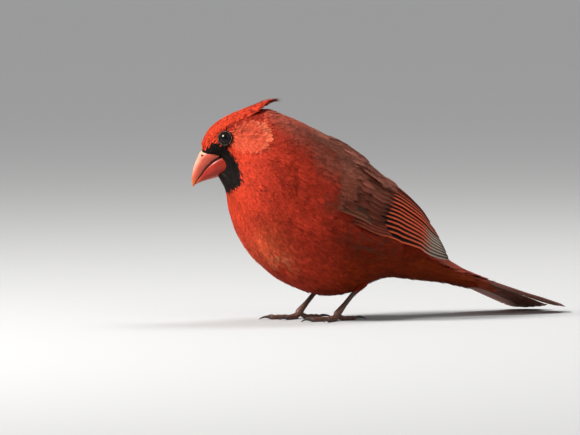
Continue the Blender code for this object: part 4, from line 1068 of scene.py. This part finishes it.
def make_wings(vanes, plumes, skin):
    shuffle = np.random.default_rng(61)
    core, piece = Piece(), Piece()
    make_wing_core(core)
    for row, tier in enumerate(WING_TIERS):
        for index in range(tier[1]):
            wing_vane(piece, tier, index, row, shuffle)
    for side, core_side, vane_side in (
        ("left", core, piece), ("right", core.mirrored(), piece.mirrored())
    ):
        core_side.make("wing_core_" + side, skin, "plumage_wing")
        vane_side.make("wing_vanes_" + side, vanes, "plumage_wing", ("wing_" + side,), coat=True, sharp=50)
    # Greater and median coverts, one big feather after another
    coat = Piece()
    leaves = [covert_shape(shuffle) for k in range(5)]
    for count, roots, tips, first_angle, last_angle, wide, lift_root, lift_tip in COVERT_ROWS:
        share = np.linspace(0, 1, count)
        angle = first_angle + (last_angle - first_angle) * share
        t = roots[0] + (roots[1] - roots[0]) * share + shuffle.uniform(-0.05, 0.05, count)
        tip = tips[0] + (tips[1] - tips[0]) * share + shuffle.uniform(-0.08, 0.08, count)
        place = np.stack([t, angle], -1)
        along = np.stack([tip - t, shuffle.uniform(-1, 1, count) - 1.5 * (1 - share)], -1)
        across = directions(shell, place, np.full(count, 5.0), np.zeros(count))[1]
        thin = thinned(angle)
        lift = np.stack([lift_root * thin, lift_tip * thin + 0.25 * shuffle.random(count)], -1)
        tint = mixed(COVERT, mixed(BACK, WEB_OUTER, 0.1), 0.2 + 0.65 * smooth((share - 0.3) / 0.3))
        tint = tint * shuffle.normal(1, 0.1, (count, 1)) * (1 + 0.4 * share)[:, None]
        ends = mixed(tint * (0.4 if count == COVERT_ROWS[0][0] else 0.75), BACK_EDGE, 0.1)
        patch = np.stack([0.02 + 0.96 * angle / 120, 0.02 + 0.96 * (t - 6.5) / 5], -1)
        lay(coat, shell, place, along, across, np.full(count, wide), lift, tint, ends,
            leaves, shuffle, patch, soft=0.25, tilt=0.15)
    place = scatter(shell, (7.9, 9.5), (13, 43), lambda p, q: 3.6 + 0 * p, 41)
    t, angle = place.T
    count = len(t)
    along, across = directions(shell, place, 12.5 + 3 * shuffle.random(count), 5 + shuffle.normal(0, 4, count))
    high = (1.3 + 3.4 * smooth((angle - 8) / 34)) * smooth((t - 6.8) / 1.6)
    lift = np.stack([high * 0.5 - 0.4, high + 0.5 + 0.5 * shuffle.random(count)], -1)
    tint = np.asarray(BACK) * shuffle.normal(1.08, 0.2, (count, 1))
    patch = np.stack([0.02 + 0.96 * angle / 120, 0.02 + 0.96 * (t - 6.5) / 5], -1)
    lay(coat, shell, place, along, across, np.full(count, 2.7), lift, tint, mixed(tint, BACK_EDGE, 0.5),
        leaves, shuffle, patch, soft=0.4, tilt=0.1)
    coat.make("coat_coverts_left", plumes, "plumage_wing", coat=True)
    coat.mirrored().make("coat_coverts_right", plumes, "plumage_wing", coat=True)
    # Scapulars, lesser coverts and the breast feathers that lie over the wing's front edge
    shapes = templates(8, 62, strands=18, fine=0.16, vane=0.85, loft=0.25, reach=1.12, spread=1.05)
    coat = Piece()
    for tract in ("scapular", "front", "lesser", "flank"):
        if tract == "scapular":
            place = scatter(shell, (7.2, 10.3), (6, 44), lambda p, q: 2.1 + 0 * p, 3)
            t, angle = place.T
            length = 9.5 + 1.5 * shuffle.random(len(t))
            high = (1.0 + 3.6 * smooth((angle - 8) / 34)) * smooth((t - 7.2) / 1.6)
            lift = np.stack([high * 0.6 - 0.6, high + 0.5 * shuffle.random(len(t))], -1)
            tint = mixed(BACK, COVERT, 0.3 * smooth((angle - 20) / 20)) * shuffle.normal(0.95, 0.1, (len(t), 1))
            # Painted shade at the shoulder, as on the body below
            tint = tint * (1 - 0.5 * np.exp(-((t - 7.7) / 0.5) ** 2 - ((angle - 40) / 10) ** 2))[:, None]
            tip = mixed(tint * 1.2, BACK_EDGE, 0.5)
            swing, half = 6 + 0 * t, 2.5
        elif tract == "front":
            place = scatter(shell, (6.3, 7.65), (40, 104), lambda p, q: 1.6 + 0 * p, 11)
            t, angle = place.T
            length = 7.5 + 2.0 * shuffle.random(len(t))
            high = 3.2 * smooth((t - 6.5) / 1.2) * smooth((110 - angle) / 24) * smooth((angle - 30) / 26)
            lift = np.stack([high * 0.75 - 0.9, high + 0.5 + 0.6 * shuffle.random(len(t))], -1)
            brown = smooth((t - 7.0 - 0.7 * np.exp(-((angle - 66) / 9) ** 2) + 0.2 * waves(t, angle, 3, 2) + shuffle.normal(0, 0.1, len(t))) / 0.5)
            brown = brown * smooth((92 - angle) / 10)
            tint = mixed(plumage(t + 0.4, angle, shuffle), mixed(COVERT, BREAST, 0.15), brown * 0.85)
            tip = tint * 1.1
            swing, half = 8 + 0 * t, 1.5
        elif tract == "flank":
            place = scatter(shell, (7.4, 11.0), (91, 116), lambda p, q: 1.8 + 0 * p, 29)
            t, angle = place.T
            length = 9.0 + 2.0 * shuffle.random(len(t))
            high = (0.3 + 1.6 * smooth((106 - angle) / 14)) * smooth((t - 7.2) / 1.2) * smooth((11.4 - t) / 1.4)
            lift = np.stack([high * 0.5 - 0.8, high + 0.6 * shuffle.random(len(t)) - 0.2], -1)
            tint = plumage(t + 0.6, angle, shuffle) * 0.9
            tip = tint * 1.15
            swing, half = -2 + 0 * t, 1.6
        else:
            place = scatter(shell, (7.3, 8.3), (30, 84), lambda p, q: 1.5 + 0 * p, 23)
            place = place[place[:, 1] < 84 - 8 * (place[:, 0] > 7.85)]
            t, angle = place.T
            length = 7.0 + 2.5 * shuffle.random(len(t))
            high = (1.2 + 3.6 * smooth((t - 7.1) / 1.2)) * thinned(angle)
            lift = np.stack([high * 0.6 - 0.9, high + 0.5 * shuffle.random(len(t)) - 0.3], -1)
            tint = mixed(COVERT, BACK, 0.25 + 0.4 * smooth((68 - angle) / 16)) * 1.15
            tint = tint * (1 - 0.42 * smooth((60 - angle) / 14))[:, None]
            redder = 0.5 * smooth((7.75 - t) / 0.4) * smooth((angle - 50) / 14) * shuffle.random(len(t))
            tint = mixed(tint, BREAST, redder)
            tint = tint * (shuffle.normal(1, 0.06, len(t)) + 0.2 * waves(t, angle, 31, 2.5))[:, None]
            tip = mixed(tint * 1.2, BACK_EDGE, 0.2)
            swing, half = 5 + 0 * t, 1.5
        swing = swing + shuffle.normal(0, 5, len(t))
        along, across = directions(shell, place, length, swing)
        patch = np.stack([0.02 + 0.96 * angle / 120, 0.02 + 0.96 * (t - 6.5) / 5], -1)
        lay(coat, shell, place, along, across, np.full(len(t), half), lift, tint, tip, shapes, shuffle, patch)
    coat.make("coat_shoulder_left", plumes, "plumage_wing", coat=True)
    coat.mirrored().make("coat_shoulder_right", plumes, "plumage_wing", coat=True)


def tail_plane(along, across, lift):
    """A point over the tail's fan. Where the tail lies on the floor, over is straight up."""
    slope, roll = math.radians(TAIL_SLOPE), math.radians(TAIL_ROLL)
    ahead = np.array((math.cos(slope), 0.0, -math.sin(slope)))
    left = np.array((0.0, -math.cos(roll), math.sin(roll)))
    normal = np.cross(left, ahead)
    normal = normal if normal[2] > 0 else -normal
    points = tail(along, across)
    flat = np.clip(1 - points[..., 2] / (2 * FLOOR_BEND), 0, 1)[..., None]
    out = unit(normal * (1 - flat) + np.array((0.0, 0.0, 1.0)) * flat)
    return points + out * np.asarray(lift)[..., None]


def make_tail(vanes, plumes):
    """The twelve tail feathers and the coverts over and under their roots."""
    shuffle = np.random.default_rng(71)
    piece = Piece()
    for index in range(6):
        for side in (-1, 1):
            fan = math.radians(TAIL_FIRST + TAIL_STEP * index) * side
            length = TAIL_LENGTHS[index] + shuffle.uniform(-0.7, 0.7)
            shaft = side * (0.12 + 0.1 * index)
            vane = Vane(TAIL_VANE, 64, shuffle, shaft, splits=4, columns=17)
            along = TAIL_ROOTS + (length - TAIL_ROOTS) * vane.share
            half = TAIL_WIDTH / 2 * vane.wide
            across = along * math.sin(fan) + vane.edge * half
            along = along - 1.6 * np.abs(vane.edge - shaft) ** 2 * (vane.share > 0.96)
            level = TAIL_LAYER * (5 - index) + 0.35 + (0.22 if side > 0 and index == 0 else 0.0)
            level = level - 0.05 * vane.edge * side * half - 0.12 * vane.edge ** 2
            thick = 0.18 + 0.32 * vane.ridge * (1 - 0.7 * vane.share)
            barbs = 0.03 * np.sin(vane.barb * 3.1)
            upper = tail_plane(along, across, level + thick / 2 + barbs + 0.1 * vane.ridge)
            lower = tail_plane(along, across, np.maximum(0.02, level - thick / 2))
            outer = 0.35 + 0.65 * smooth((vane.edge * side - 0.5) / 0.3)
            grain = shuffle.normal(1, 0.05, vane.share.shape) * (1 + 0.08 * np.sin(vane.barb * 2.4))
            colour = mixed(TAIL_INNER, TAIL_OUTER, outer * (1 - 0.5 * smooth((vane.share - 0.75) / 0.25)))
            colour = mixed(colour, np.asarray(VANE_TIP), 0.5 * smooth((vane.share - 0.85) / 0.12))
            colour = mixed(colour, SHAFT, 0.8 * vane.ridge)
            under = mixed(mixed(colour, (0.42, 0.2, 0.15), 0.7), (0.5, 0.36, 0.28), 0.5 * vane.ridge)
            vane.add_to(piece, upper, lower, colour * grain[..., None], (2 * index + (side > 0), 0, 12, 1),
                        under * grain[..., None])
    piece.make("tail_vanes", vanes, "plumage_tail", ("tail",), coat=True, lowest=0.0, sharp=50)

    coat = Piece()
    shapes = templates(8, 72, strands=14, fine=0.13, vane=0.8, loft=0.35, reach=1.1, spread=1.1)
    for over in (1, -1):
        surface = covert_surface(over)
        place = scatter(surface, (0.0, 0.92), (-98, 98), lambda p, q: 2.2 + 0 * p, 7)
        last = 1.06 - 0.0034 * np.abs(place[:, 1]) + shuffle.uniform(-0.07, 0.07, len(place))
        kept = place[:, 0] < last - 0.12
        place, last = place[kept], last[kept]
        p, q = place.T
        length = np.minimum(10.5, 34 * (last - p))
        swing = shuffle.normal(0, 6, len(p))
        along, across = directions(surface, place, length, swing)
        lift = np.stack([np.full(len(p), -1.2), 0.2 * shuffle.random(len(p))], -1)
        if over > 0:
            tint = mixed(BACK, (0.42, 0.06, 0.035), 0.5 + 0.5 * smooth((p - 0.1) / 0.6))
        else:
            tint = mixed(UNDERTAIL, (0.5, 0.085, 0.03), smooth((p - 0.2) / 0.6))
        tint = tint * shuffle.normal(1, 0.08, (len(p), 1))
        patch = np.stack([0.25 + 0.24 * q / 100 + (0.5 if over < 0 else 0), 0.02 + 0.96 * np.clip(p, 0, 1)], -1)
        lay(coat, surface, place, along, across, np.full(len(p), 2.3), lift, tint, tint * 1.15, shapes, shuffle,
            patch)
    coat.make("coat_tail_coverts", plumes, "plumage_tail", coat=True, lowest=0.0)


def covert_surface(over):
    """The surface of the tail coverts: from the body (p 0) to their tips on the tail (p 1), q -100 to 100 across."""
    def surface(p, q):
        share = np.clip(p, -0.1, 1.2)
        place = np.asarray(q) / 100
        if over > 0:
            start = body(13.0 + 2.4 * share, place * 78.0)
            lift = 3.0 - 1.2 * np.abs(place) ** 1.5
        else:
            start = body(13.0 + 2.2 * share, 180.0 + place * 80.0)
            lift = -0.5 + 1.0 * np.abs(place) ** 1.5
        slope, roll = math.radians(TAIL_SLOPE), math.radians(TAIL_ROLL)
        ahead = np.array((math.cos(slope), 0.0, -math.sin(slope)))
        left = np.array((0.0, -math.cos(roll), math.sin(roll)))
        normal = np.cross(left, ahead)
        normal = normal if normal[2] > 0 else -normal
        along, across = TAIL_ROOTS + 29.0 * share, over * place * 14.0
        end = TAIL_ROOT + along[..., None] * ahead + across[..., None] * left + normal * lift[..., None]
        blend = smooth(share)[..., None]
        return start * (1 - blend) + end * blend
    return surface


def tube(piece, path, radii, sides, tint, relief=None, floor=False):
    """A closed round body along a path. relief(along, around) raises it; on the floor it is flattened."""
    path, radii = np.asarray(path, float), np.asarray(radii, float)
    ahead = unit(np.gradient(path, axis=0))
    level = unit(np.stack([ahead[:, 1], -ahead[:, 0], 0 * ahead[:, 0]], -1))
    upper = np.cross(level, ahead)
    turn = 2 * np.pi * (np.arange(sides) + 0.5) / sides
    share = np.linspace(0, 1, len(path))
    grown = radii[:, None] + (relief(share[:, None], turn[None, :]) if relief else 0.0)
    rings = path[:, None] + grown[..., None] * (
        level[:, None] * np.cos(turn)[None, :, None] + upper[:, None] * np.sin(turn)[None, :, None])
    if floor:
        rings[..., 2] = np.maximum(rings[..., 2], 0.0)
    first = piece.count
    colours = np.broadcast_to(tint, rings.shape).reshape(-1, 3)
    piece.grid(rings, colours, closed_across=True)
    k = np.arange(sides)
    n = (k + 1) % sides
    last = first + (len(path) - 1) * sides
    ends = np.stack([rings[0].mean(0), rings[-1].mean(0)])
    piece.add(ends, tint=colours[[0, -1]])
    piece.triangles.append(np.stack([n + first, k + first, np.full(sides, piece.count - 2)], -1))
    piece.triangles.append(np.stack([last + k, last + n, np.full(sides, piece.count - 1)], -1))


LEG_SHAPE = ((0.0, 1.24), (0.12, 1.04), (0.5, 0.92), (0.82, 1.04), (0.93, 1.3), (1.0, 1.25))
LEG_TINT = (0.08, 0.034, 0.021)
TOE_TINT = (0.12, 0.05, 0.031)
CLAW_TINT = (0.06, 0.04, 0.032)


def make_thighs(plumes):
    """The short feathers round the top of each leg, where it comes out of the belly."""
    shuffle = np.random.default_rng(81)
    shapes = templates(6, 82, strands=12, fine=0.11, vane=0.7, loft=0.5, reach=1.2, spread=1.3)
    piece = Piece()
    for ankle, heel in zip(ANKLES, HEELS):
        down = unit(ankle - heel)
        level = unit(np.cross((0.0, 0.0, 1.0), down))
        behind = np.cross(level, -down)

        def surface(p, q):
            turn = np.radians(q)[..., None]
            radius = (3.4 - 2.1 * smooth(p))[..., None]
            middle = heel + down * (1.5 + 8.0 * p)[..., None]
            return middle + radius * (level * np.cos(turn) + behind * np.sin(turn))

        place = scatter(surface, (0.1, 0.8), (0, 360), lambda p, q: 1.15 + 0 * p, 3)
        p, q = place.T
        along, across = directions(surface, place, shuffle.uniform(4.0, 5.6, len(p)), shuffle.normal(0, 7, len(p)))
        lift = np.stack([0 * p - 0.3, 0.1 + 0.5 * shuffle.random(len(p))], -1)
        pale = (shuffle.random(len(p)) < 0.2) * smooth((p - 0.3) / 0.3)
        # The thigh feathers take the belly's colour with its painted shade
        tint = mixed(mixed(BELLY_IN_PAINTED_SHADE, BREAST, 0.1), (0.5, 0.24, 0.16), 0.5 * pale) * shuffle.normal(1, 0.1, (len(p), 1))
        lay(piece, surface, place, along, across, np.full(len(p), 0.95), lift, tint, tint * 1.2, shapes, shuffle,
            np.stack([0.02 + 0.96 * q / 360, 0.02 + 0.96 * p], -1))
    piece.make("coat_thighs", plumes, "plumage", coat=True)


def scutes(count, height, front):
    """Broad plates across the front of a leg or toe, and small round scales behind."""
    def relief(share, turn):
        step = (share * count) % 1.0
        plate = smooth(step / 0.25) * (1 - 0.35 * step)
        face = smooth((np.cos(turn - front) + 0.25) / 0.5)
        small = 0.5 + 0.5 * np.sin(share * count * 12.6 + 3 * np.sin(turn * 5)) * np.sin(turn * 7)
        return height * (plate * face + 0.7 * small * (1 - face))
    return relief


def make_legs(scales_material, horn):
    """Legs and feet with their scales, and the claws."""
    for side, word in enumerate(("left", "right")):
        ankle, heel = ANKLES[side], HEELS[side]
        up = unit(heel - ankle)
        start, end = ankle + up * 3.0, heel + up * 1.5
        share = np.linspace(0, 1, 90)
        radii = LEG_RADIUS * np.interp(share, *np.transpose(LEG_SHAPE)) - 0.07
        path = start + (end - start) * share[:, None]
        leg = Piece()
        shade = 1 - 0.3 * (np.abs((share * 9) % 1.0 - 0.02) < 0.05)[:, None, None]
        tint = np.asarray(LEG_TINT) * shade * np.ones((1, 24, 1))
        tube(leg, path, radii, 24, tint, scutes(9, 0.13, math.pi * 1.5))
        leg.make("leg_scaled_" + word, scales_material, "leg_scales", ("leg_" + word,))

        foot = Piece()
        hub = np.array([ankle - up * 2.2, ankle - up * 1.0, ankle + up * 1.2, ankle + up * 3.4])
        steps = np.linspace(0, 3, 40)
        path = np.stack([np.interp(steps, range(4), hub[:, i]) for i in range(3)], -1)
        tube(foot, path, np.interp(steps, range(4), (1.45, 1.85, 1.7, 1.45)), 24, TOE_TINT,
             scutes(5, 0.12, math.pi * 1.5), floor=True)
        outward = -1 if side == 0 else 1
        claws = []
        for name, angle, length, radius, claw in TOES:
            heading = math.radians(180 + outward * (angle - FOOT_OUT))
            direction = np.array((math.cos(heading), math.sin(heading), 0.0))
            share = np.linspace(0, 1, 70)
            at = (0.0, 0.14, 0.3, 0.45, 0.6, 0.75, 0.9, 1.0)
            height = np.interp(share, at, (2.9, 1.9, 1.0, 1.0, 1.0, 1.0, 1.0, 1.0))
            height = np.convolve(np.pad(height, 4, mode="edge"), np.ones(9) / 9, "valid")
            swell = np.interp(share, at, (1.1, 1.0, 1.05, 0.86, 1.04, 0.84, 0.98, 0.7))
            base = np.array((ankle[0], ankle[1], 0.0))
            path = base + direction * (length * share)[:, None] + np.array((0, 0, 1.0)) * height[:, None]
            plates = 1 - 0.35 * (((share * 11) % 1.0) < 0.12)[:, None, None]
            tube(foot, path, radius * swell - 0.05, 20, np.asarray(TOE_TINT) * plates * np.ones((1, 20, 1)),
                 scutes(11, 0.12, math.pi / 2), floor=True)
            tip = path[-1] + direction * (GAP + 0.1)
            bends = ((0.0, 0.0), (0.25, 0.55), (0.55, 0.45), (0.82, -0.2), (1.0, -0.72))
            reach = np.linspace(0, 1, 24)
            rise = np.interp(reach, *np.transpose(bends))
            rise = np.convolve(np.pad(rise, 2, mode="edge"), np.ones(5) / 5, "valid")
            claw_path = tip + direction * (claw * reach)[:, None] + np.array((0, 0, 1.0)) * rise[:, None]
            claw_path[:, 2] = np.maximum(claw_path[:, 2], 0.16)
            nail = Piece()
            thin = np.interp(reach, (0.0, 0.25, 0.55, 0.82, 1.0), (0.78, 0.72, 0.52, 0.34, 0.1))
            fade = mixed(np.asarray(CLAW_TINT) * 2.2, CLAW_TINT, smooth(reach / 0.5))[:, None] * np.ones((1, 14, 1))
            tube(nail, claw_path, thin, 14, fade, floor=True)
            nail.make("nail_" + word + "_" + name, horn, "claw", ("claw_" + word + "_" + name,))
        foot.make("foot_scaled_" + word, scales_material, "leg_scales", ("foot_" + word,))


def make_bill(horn):
    """Both halves of the bill, with the nostrils and a thin mouth line."""
    for name, stations, square_top, square_low in (
        ("upper", UPPER_BILL, 2.0, 5.0), ("lower", LOWER_BILL, 5.0, 2.0)
    ):
        t, angle = np.meshgrid(np.linspace(-0.2, 6.0, 120), np.arange(0, 360, 4.0), indexing="ij")
        points = section_points(stations, t, angle, square_top, square_low, 0.13)
        side = np.sign(points[..., 1] + 1e-9)
        if name == "upper":
            hole = np.array(NOSTRIL)
            away = points - np.stack([0 * side + hole[0], side * hole[1], 0 * side + hole[2]], -1)
            near = np.exp(-(np.linalg.norm(away * (1.0, 0.6, 1.25), axis=-1) / 0.6) ** 4)
            points[..., 1] -= side * 0.9 * near
            colour = mixed((0.44, 0.062, 0.03), (0.54, 0.11, 0.02), smooth((t - 3.6) / 2.2))
            top = smooth((66 - np.abs((angle + 180) % 360 - 180)) / 50)
            # Painted highlight: pale pink along the top of the upper half, towards its base
            colour = mixed(colour, (0.85, 0.4, 0.27), top * smooth((4.6 - t) / 2.0) * 0.8)
            colour = mixed(colour, (0.8, 0.38, 0.1), top * smooth((1.5 - t) / 1.2) * 0.7)
            low = np.abs((angle + 180) % 360 - 180)
            colour = mixed(colour, (0.42, 0.06, 0.03), 0.7 * smooth((low - 92) / 20))
            # Painted shade: near black where the upper half meets the lower
            colour = mixed(colour, (0.02, 0.004, 0.003), smooth((low - 122) / 14))
            colour = mixed(colour, (0.008, 0.004, 0.003), np.clip(near * 1.6, 0, 1))
        else:
            colour = mixed((0.33, 0.014, 0.002), (0.54, 0.1, 0.016), smooth((t - 3.8) / 2))
            high = np.abs((angle + 180) % 360 - 180)
            colour = mixed(colour, (0.8, 0.4, 0.12), 0.7 * smooth((0.7 - t) / 0.7) * smooth((80 - high) / 40))
            # Painted highlight: paler pink on the bulge of the lower half
            colour = mixed(colour, (0.46, 0.1, 0.07), 0.45 * smooth((90 - high) / 30) * smooth((2.6 - t) / 1.5))
            colour = mixed(colour, (0.45, 0.1, 0.03), 0.7 * smooth((high - 130) / 35))
            # Painted shade: near black where the lower half meets the upper
            colour = mixed(colour, (0.02, 0.004, 0.003), smooth((56 - high) / 14))
        piece = Piece()
        rows, columns = t.shape
        piece.grid(turned(points), colour.reshape(-1, 3), closed_across=True)
        k = np.arange(columns)
        n = (k + 1) % columns
        last = (rows - 1) * columns
        ends = turned(np.stack([points[0].mean(0), points[-1].mean(0)]))
        piece.add(ends, tint=(colour[0, 0], colour[-1, 0]))
        piece.triangles.append(np.stack([n, k, np.full(columns, piece.count - 2)], -1))
        piece.triangles.append(np.stack([last + k, last + n, np.full(columns, piece.count - 1)], -1))
        piece.make("bill_horn_" + name, horn, "bill", ("bill_" + name,), sharp=70)
    # A dark sheet between both halves: painted shade of the mouth line
    t, edge = np.meshgrid(np.linspace(0.0, 5.7, 50), np.linspace(-1, 1, 11), indexing="ij")
    upper, lower = spline(UPPER_BILL, t), spline(LOWER_BILL, t)
    x, z = (upper[..., 2] + lower[..., 0]) / 2, (upper[..., 3] + lower[..., 1]) / 2
    half = 0.86 * np.minimum(upper[..., 4], lower[..., 4])
    mouth_shade = Piece()
    slab(mouth_shade, turned(np.stack([x - 0.14, edge * half, z + 0.22], -1)),
         turned(np.stack([x + 0.14, edge * half, z - 0.22], -1)),
         np.broadcast_to((0.012, 0.003, 0.003), x.shape + (3,)).reshape(-1, 3))
    mouth_shade.make("bill_mouth_shade", horn, "bill", sharp=50)


def make_eyes(gloss, rim):
    """Dark brown eyes with a black pupil, each in a thin grey ring of lids."""
    for side, word in ((-1, "left"), (1, "right")):
        place, look = eye_frame(side)
        centre = place - look * (EYE_RADIUS - EYE_OUT)
        level = unit(np.cross((0.0, 0.0, 1.0), look))
        upper = np.cross(look, level)
        polar, turn = np.meshgrid(np.linspace(0.002, np.pi - 0.002, 60), np.arange(0, 2 * np.pi, np.pi / 32),
                                  indexing="ij")
        ball = centre + EYE_RADIUS * (
            look * np.cos(polar)[..., None] + level * (np.cos(turn) * np.sin(polar))[..., None]
            + upper * (np.sin(turn) * np.sin(polar))[..., None])
        iris = smooth((polar - 0.36) / 0.05) * smooth((0.78 - polar) / 0.1)
        streak = 0.8 + 0.2 * np.sin(turn * 32)
        colour = mixed((0.002, 0.002, 0.002), (0.014, 0.006, 0.004), iris) * streak[..., None]
        piece = Piece()
        piece.grid(ball, colour.reshape(-1, 3), closed_across=True, flip=True)
        piece.make("eyeball_" + word, gloss, "eye", ("eye_" + word,))
        lids = Piece()
        rows, columns = 96, 24
        around, section = np.meshgrid(np.arange(rows) * 2 * np.pi / rows, np.arange(columns) * 2 * np.pi / columns,
                                      indexing="ij")
        out = level * np.cos(around)[..., None] + upper * np.sin(around)[..., None]
        for radius, thick, height, tone in (
            (3.2, 0.24, 0.2, (0.006, 0.005, 0.005)), (3.47, 0.13, 0.2, (0.3, 0.2, 0.15)),
            (3.78, 0.32, -0.12, (0.012, 0.006, 0.005))
        ):
            beads = 1 + 0.16 * np.sin(around * 30 + 2 * np.sin(around * 5)) + 0.12 * np.sin(around * 7 + radius)
            thin = 1 - 0.35 * np.cos(around) ** 2
            ring = place + out * (radius + thick * beads * np.cos(section))[..., None] + look * (
                height + thick * beads * thin * np.sin(section))[..., None]
            closed = np.concatenate([ring, ring[:1]])
            uneven = 0.55 + 0.45 * np.sin(around * 3 + 1.0) * np.sin(around * 11)
            uneven = np.concatenate([uneven, uneven[:1]])[..., None]
            lids.grid(closed, (np.asarray(tone) * uneven).reshape(-1, 3), closed_across=True, flip=True)
        lids.make("lids_" + word, rim, "eye")


def main():
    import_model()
    plumes = feather_material("feathers", 900.0, 0.8, 0.03, 0.25)
    skin = feather_material("skin", 700.0, 0.85, 0.0, 0.3)
    vanes = feather_material("vanes", 1300.0, 0.55, 0.03, 0.35)
    horn = horn_material("horn", 320.0, 0.32, 0.46, 0.2, 0.14)
    horn.node_tree.nodes["Principled BSDF"].inputs["Coat Roughness"].default_value = 0.34
    horn.node_tree.nodes["Principled BSDF"].inputs["Specular IOR Level"].default_value = 0.32
    scaly = horn_material("scales", 900.0, 0.42, 0.6, 0.3, 0.0)
    gloss = horn_material("cornea", 80.0, 0.2, 0.3, 0.0, 0.2)
    gloss.node_tree.nodes["Principled BSDF"].inputs["IOR"].default_value = 1.2
    gloss.node_tree.nodes["Principled BSDF"].inputs["Coat Roughness"].default_value = 0.04
    lash = feather_material("lids", 1500.0, 0.6, 0.0, 0.3)
    make_skin(skin)
    make_coat(plumes)
    make_crest(skin, plumes)
    make_wings(vanes, plumes, skin)
    make_tail(vanes, plumes)
    make_thighs(plumes)
    make_legs(scaly, horn)
    make_bill(horn)
    make_eyes(gloss, lash)
    make_stage()


def make_stage():
    """A pale floor, soft lights and the camera of the photograph."""
    bpy.ops.mesh.primitive_plane_add(size=80.0, location=(0, 0, 0))
    floor = bpy.context.object
    floor.name = "floor"
    paint = bpy.data.materials.new("floor")
    paint.use_nodes = True
    nodes, links = paint.node_tree.nodes, paint.node_tree.links
    noise = nodes.new("ShaderNodeTexNoise")
    noise.inputs["Scale"].default_value = 30.0
    ramp = nodes.new("ShaderNodeMapRange")
    ramp.inputs["To Min"].default_value = 0.8
    ramp.inputs["To Max"].default_value = 0.92
    links.new(noise.outputs["Fac"], ramp.inputs["Value"])
    links.new(ramp.outputs["Result"], nodes["Principled BSDF"].inputs["Roughness"])
    nodes["Principled BSDF"].inputs["Base Color"].default_value = (0.52, 0.515, 0.505, 1.0)
    nodes["Principled BSDF"].inputs["Specular IOR Level"].default_value = 0.15
    floor.data.materials.append(paint)

    azimuth, elevation, distance = math.radians(-30.0), math.radians(3.0), 3.358
    back = Vector((
        math.sin(azimuth) * math.cos(elevation), -math.cos(azimuth) * math.cos(elevation), math.sin(elevation)
    ))
    right = Vector((math.cos(azimuth), math.sin(azimuth), 0.0))
    target = Vector((-0.05456, 0.00754, 0.05337))
    camera = bpy.data.objects.new("camera", bpy.data.cameras.new("camera"))
    camera.data.lens = 400.0
    camera.data.sensor_width = 36.0
    camera.data.clip_start = 0.05
    camera.data.clip_end = 200.0
    camera.location = target + back * distance
    camera.rotation_euler = back.to_track_quat("Z", "Y").to_euler()
    bpy.context.scene.collection.objects.link(camera)
    bpy.context.scene.camera = camera

    centre = Vector((0.0, 0.0, 0.06))
    for name, direction, far, size, power in (
        ("key", -right * 0.95 + Vector((0, 0, 0.75)) + back * 0.45, 1.2, 0.3, 15.0),
        ("fill", right * 0.5 + Vector((0, 0, 0.7)) + back * 0.9, 1.6, 1.2, 2.6),
        ("rim", right * 0.35 + Vector((0, 0, 1.0)) - back * 0.35, 1.3, 0.6, 9.0),
    ):
        light = bpy.data.objects.new(name, bpy.data.lights.new(name, "AREA"))
        light.data.shape = "DISK"
        light.data.size = size
        light.data.energy = power
        light.location = centre + direction.normalized() * far
        light.rotation_euler = direction.to_track_quat("Z", "Y").to_euler()
        bpy.context.scene.collection.objects.link(light)
    sun = bpy.data.objects.new("sun", bpy.data.lights.new("sun", "SUN"))
    sun.data.energy = 1.9
    sun.data.angle = math.radians(14.0)
    sun.rotation_euler = (-right * 0.9 + Vector((0, 0, 0.75)) + back * 0.45).to_track_quat("Z", "Y").to_euler()
    bpy.context.scene.collection.objects.link(sun)
    world = bpy.data.worlds.new("studio")
    world.use_nodes = True
    world.node_tree.nodes["Background"].inputs["Color"].default_value = (0.86, 0.88, 0.92, 1.0)
    world.node_tree.nodes["Background"].inputs["Strength"].default_value = 0.3
    bpy.context.scene.world = world
    bpy.context.scene.view_settings.view_transform = "Standard"


for old in list(bpy.data.objects):
    bpy.data.objects.remove(old)
main()
